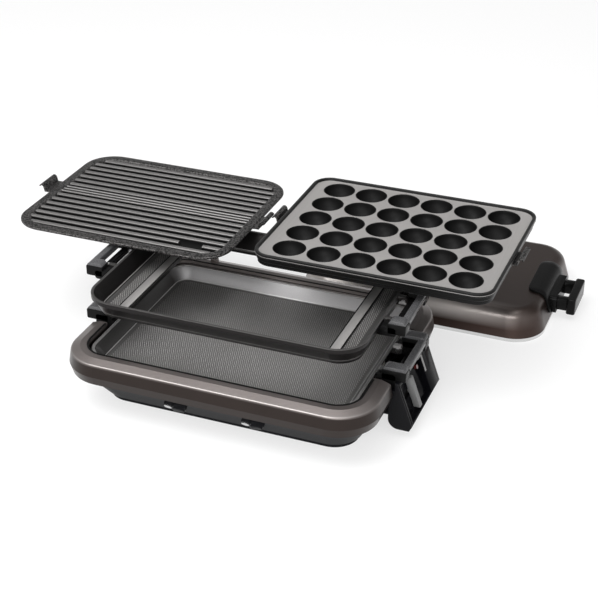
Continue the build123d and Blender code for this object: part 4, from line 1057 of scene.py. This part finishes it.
angle_trim = shells("recess_angle", LUG_GREY, [slope_strip(60.2, ANGLE_TOP, 17, ANGLE_BACK),
                                               slope_strip(ANGLE_FOOT, 61.4, 27.4, ANGLE_BACK)])
stand_for(angle_trim, "body", "grey_moulding")
print("angle is", round(ANGLE_TOP - ANGLE_FOOT, 1), "mm high")

# %% [markdown]
# A thin black strip on the guard round the griddle is a painted shadow of the gap between them, in one
# length in front of the handles' bays and one behind. Each is a strip between two rings of the same rounded
# rectangle.

# %% Painted shadow strip round the guard's mouth
MOUTH, BAY_HALF = (320.0, 236.0, 27.0), 57.0
SHADOW_STRIP_OUT, SHADOW_STRIP_IN, SHADOW_STRIP_LOW, SHADOW_STRIP_HIGH = -2.0, 0.1, 72.3, 73.0
shadow_strips = bmesh.new()
for bay_y, first_quarter in ((BAY_HALF, 0), (-BAY_HALF, 2)):
    lines = []
    for inset, z in ((SHADOW_STRIP_OUT, SHADOW_STRIP_LOW), (SHADOW_STRIP_OUT, SHADOW_STRIP_HIGH),
                     (SHADOW_STRIP_IN, SHADOW_STRIP_HIGH), (SHADOW_STRIP_IN, SHADOW_STRIP_LOW)):
        start = first_quarter * (CORNER_STEPS + 1)
        ring = list(ring_points(*MOUTH, inset, (0, 0)))[start:start + 2 * (CORNER_STEPS + 1)]
        ring = [(ring[0][0], bay_y)] + ring + [(ring[-1][0], bay_y)]
        lines.append([shadow_strips.verts.new((x * MM, y * MM, z * MM)) for x, y in ring])
    skin(shadow_strips, lines + lines[:1])
    for end in (0, -1):
        shadow_strips.faces.new([line[end] for line in lines])
bmesh.ops.recalc_face_normals(shadow_strips, faces=shadow_strips.faces)
# A black strip painted as the shadow in the gap between the griddle and the guard.
mouth_edging = finished_object("mouth_edging", mesh_of(shadow_strips, "mouth_edging"), CUP_BLACK)
stand_for(mouth_edging, "body", "black_moulding")
print("edging is", round(SHADOW_STRIP_IN - SHADOW_STRIP_OUT, 1), "mm wide")

# %% [markdown]
# Two fine black lines run along the edges of each ledge of the deep frame, as painted shade at its steps,
# and two small rests stand on the guard's back edge.

# %% Painted shade lines on the frame's ledges, rests on the guard
LEDGE_Z, LEDGE_EDGES, LEDGE_HALF, SHADE_LINE_WIDTH = 109.2, (118.0, 129.4), 92.0, 1.3
ledge_ends = FRAME_MIDDLE[1] - LEDGE_HALF, FRAME_MIDDLE[1] + LEDGE_HALF
for side, sign in (("left", -1), ("right", 1)):
    lines = []
    for edge in LEDGE_EDGES:
        x0, x1 = sorted(FRAME_MIDDLE[0] + sign * x for x in (edge, edge + SHADE_LINE_WIDTH))
        # Black strips at the ledge's two edges: painted shade.
        lines.append((box_corners(x0, x1, LEDGE_Z - 0.4, LEDGE_Z + 0.12), *ledge_ends, 0.05))
    stand_for(shells("ledge_grooves_" + side, CUP_BLACK, lines), "frame", "coated_casting")
REST_PLACES, REST_HALF = (-138.0, -109.0), 4.5
rests = [(box_corners(x - REST_HALF, x + REST_HALF, 70.5, 75.6, 0, 0, 1.5, 1.5), 126, 132, 0.6)
         for x in REST_PLACES]
stand_for(shells("guard_rests", BRONZE_GUARD, rests), "body", "bronze_paint")
print("grooves and rests done")
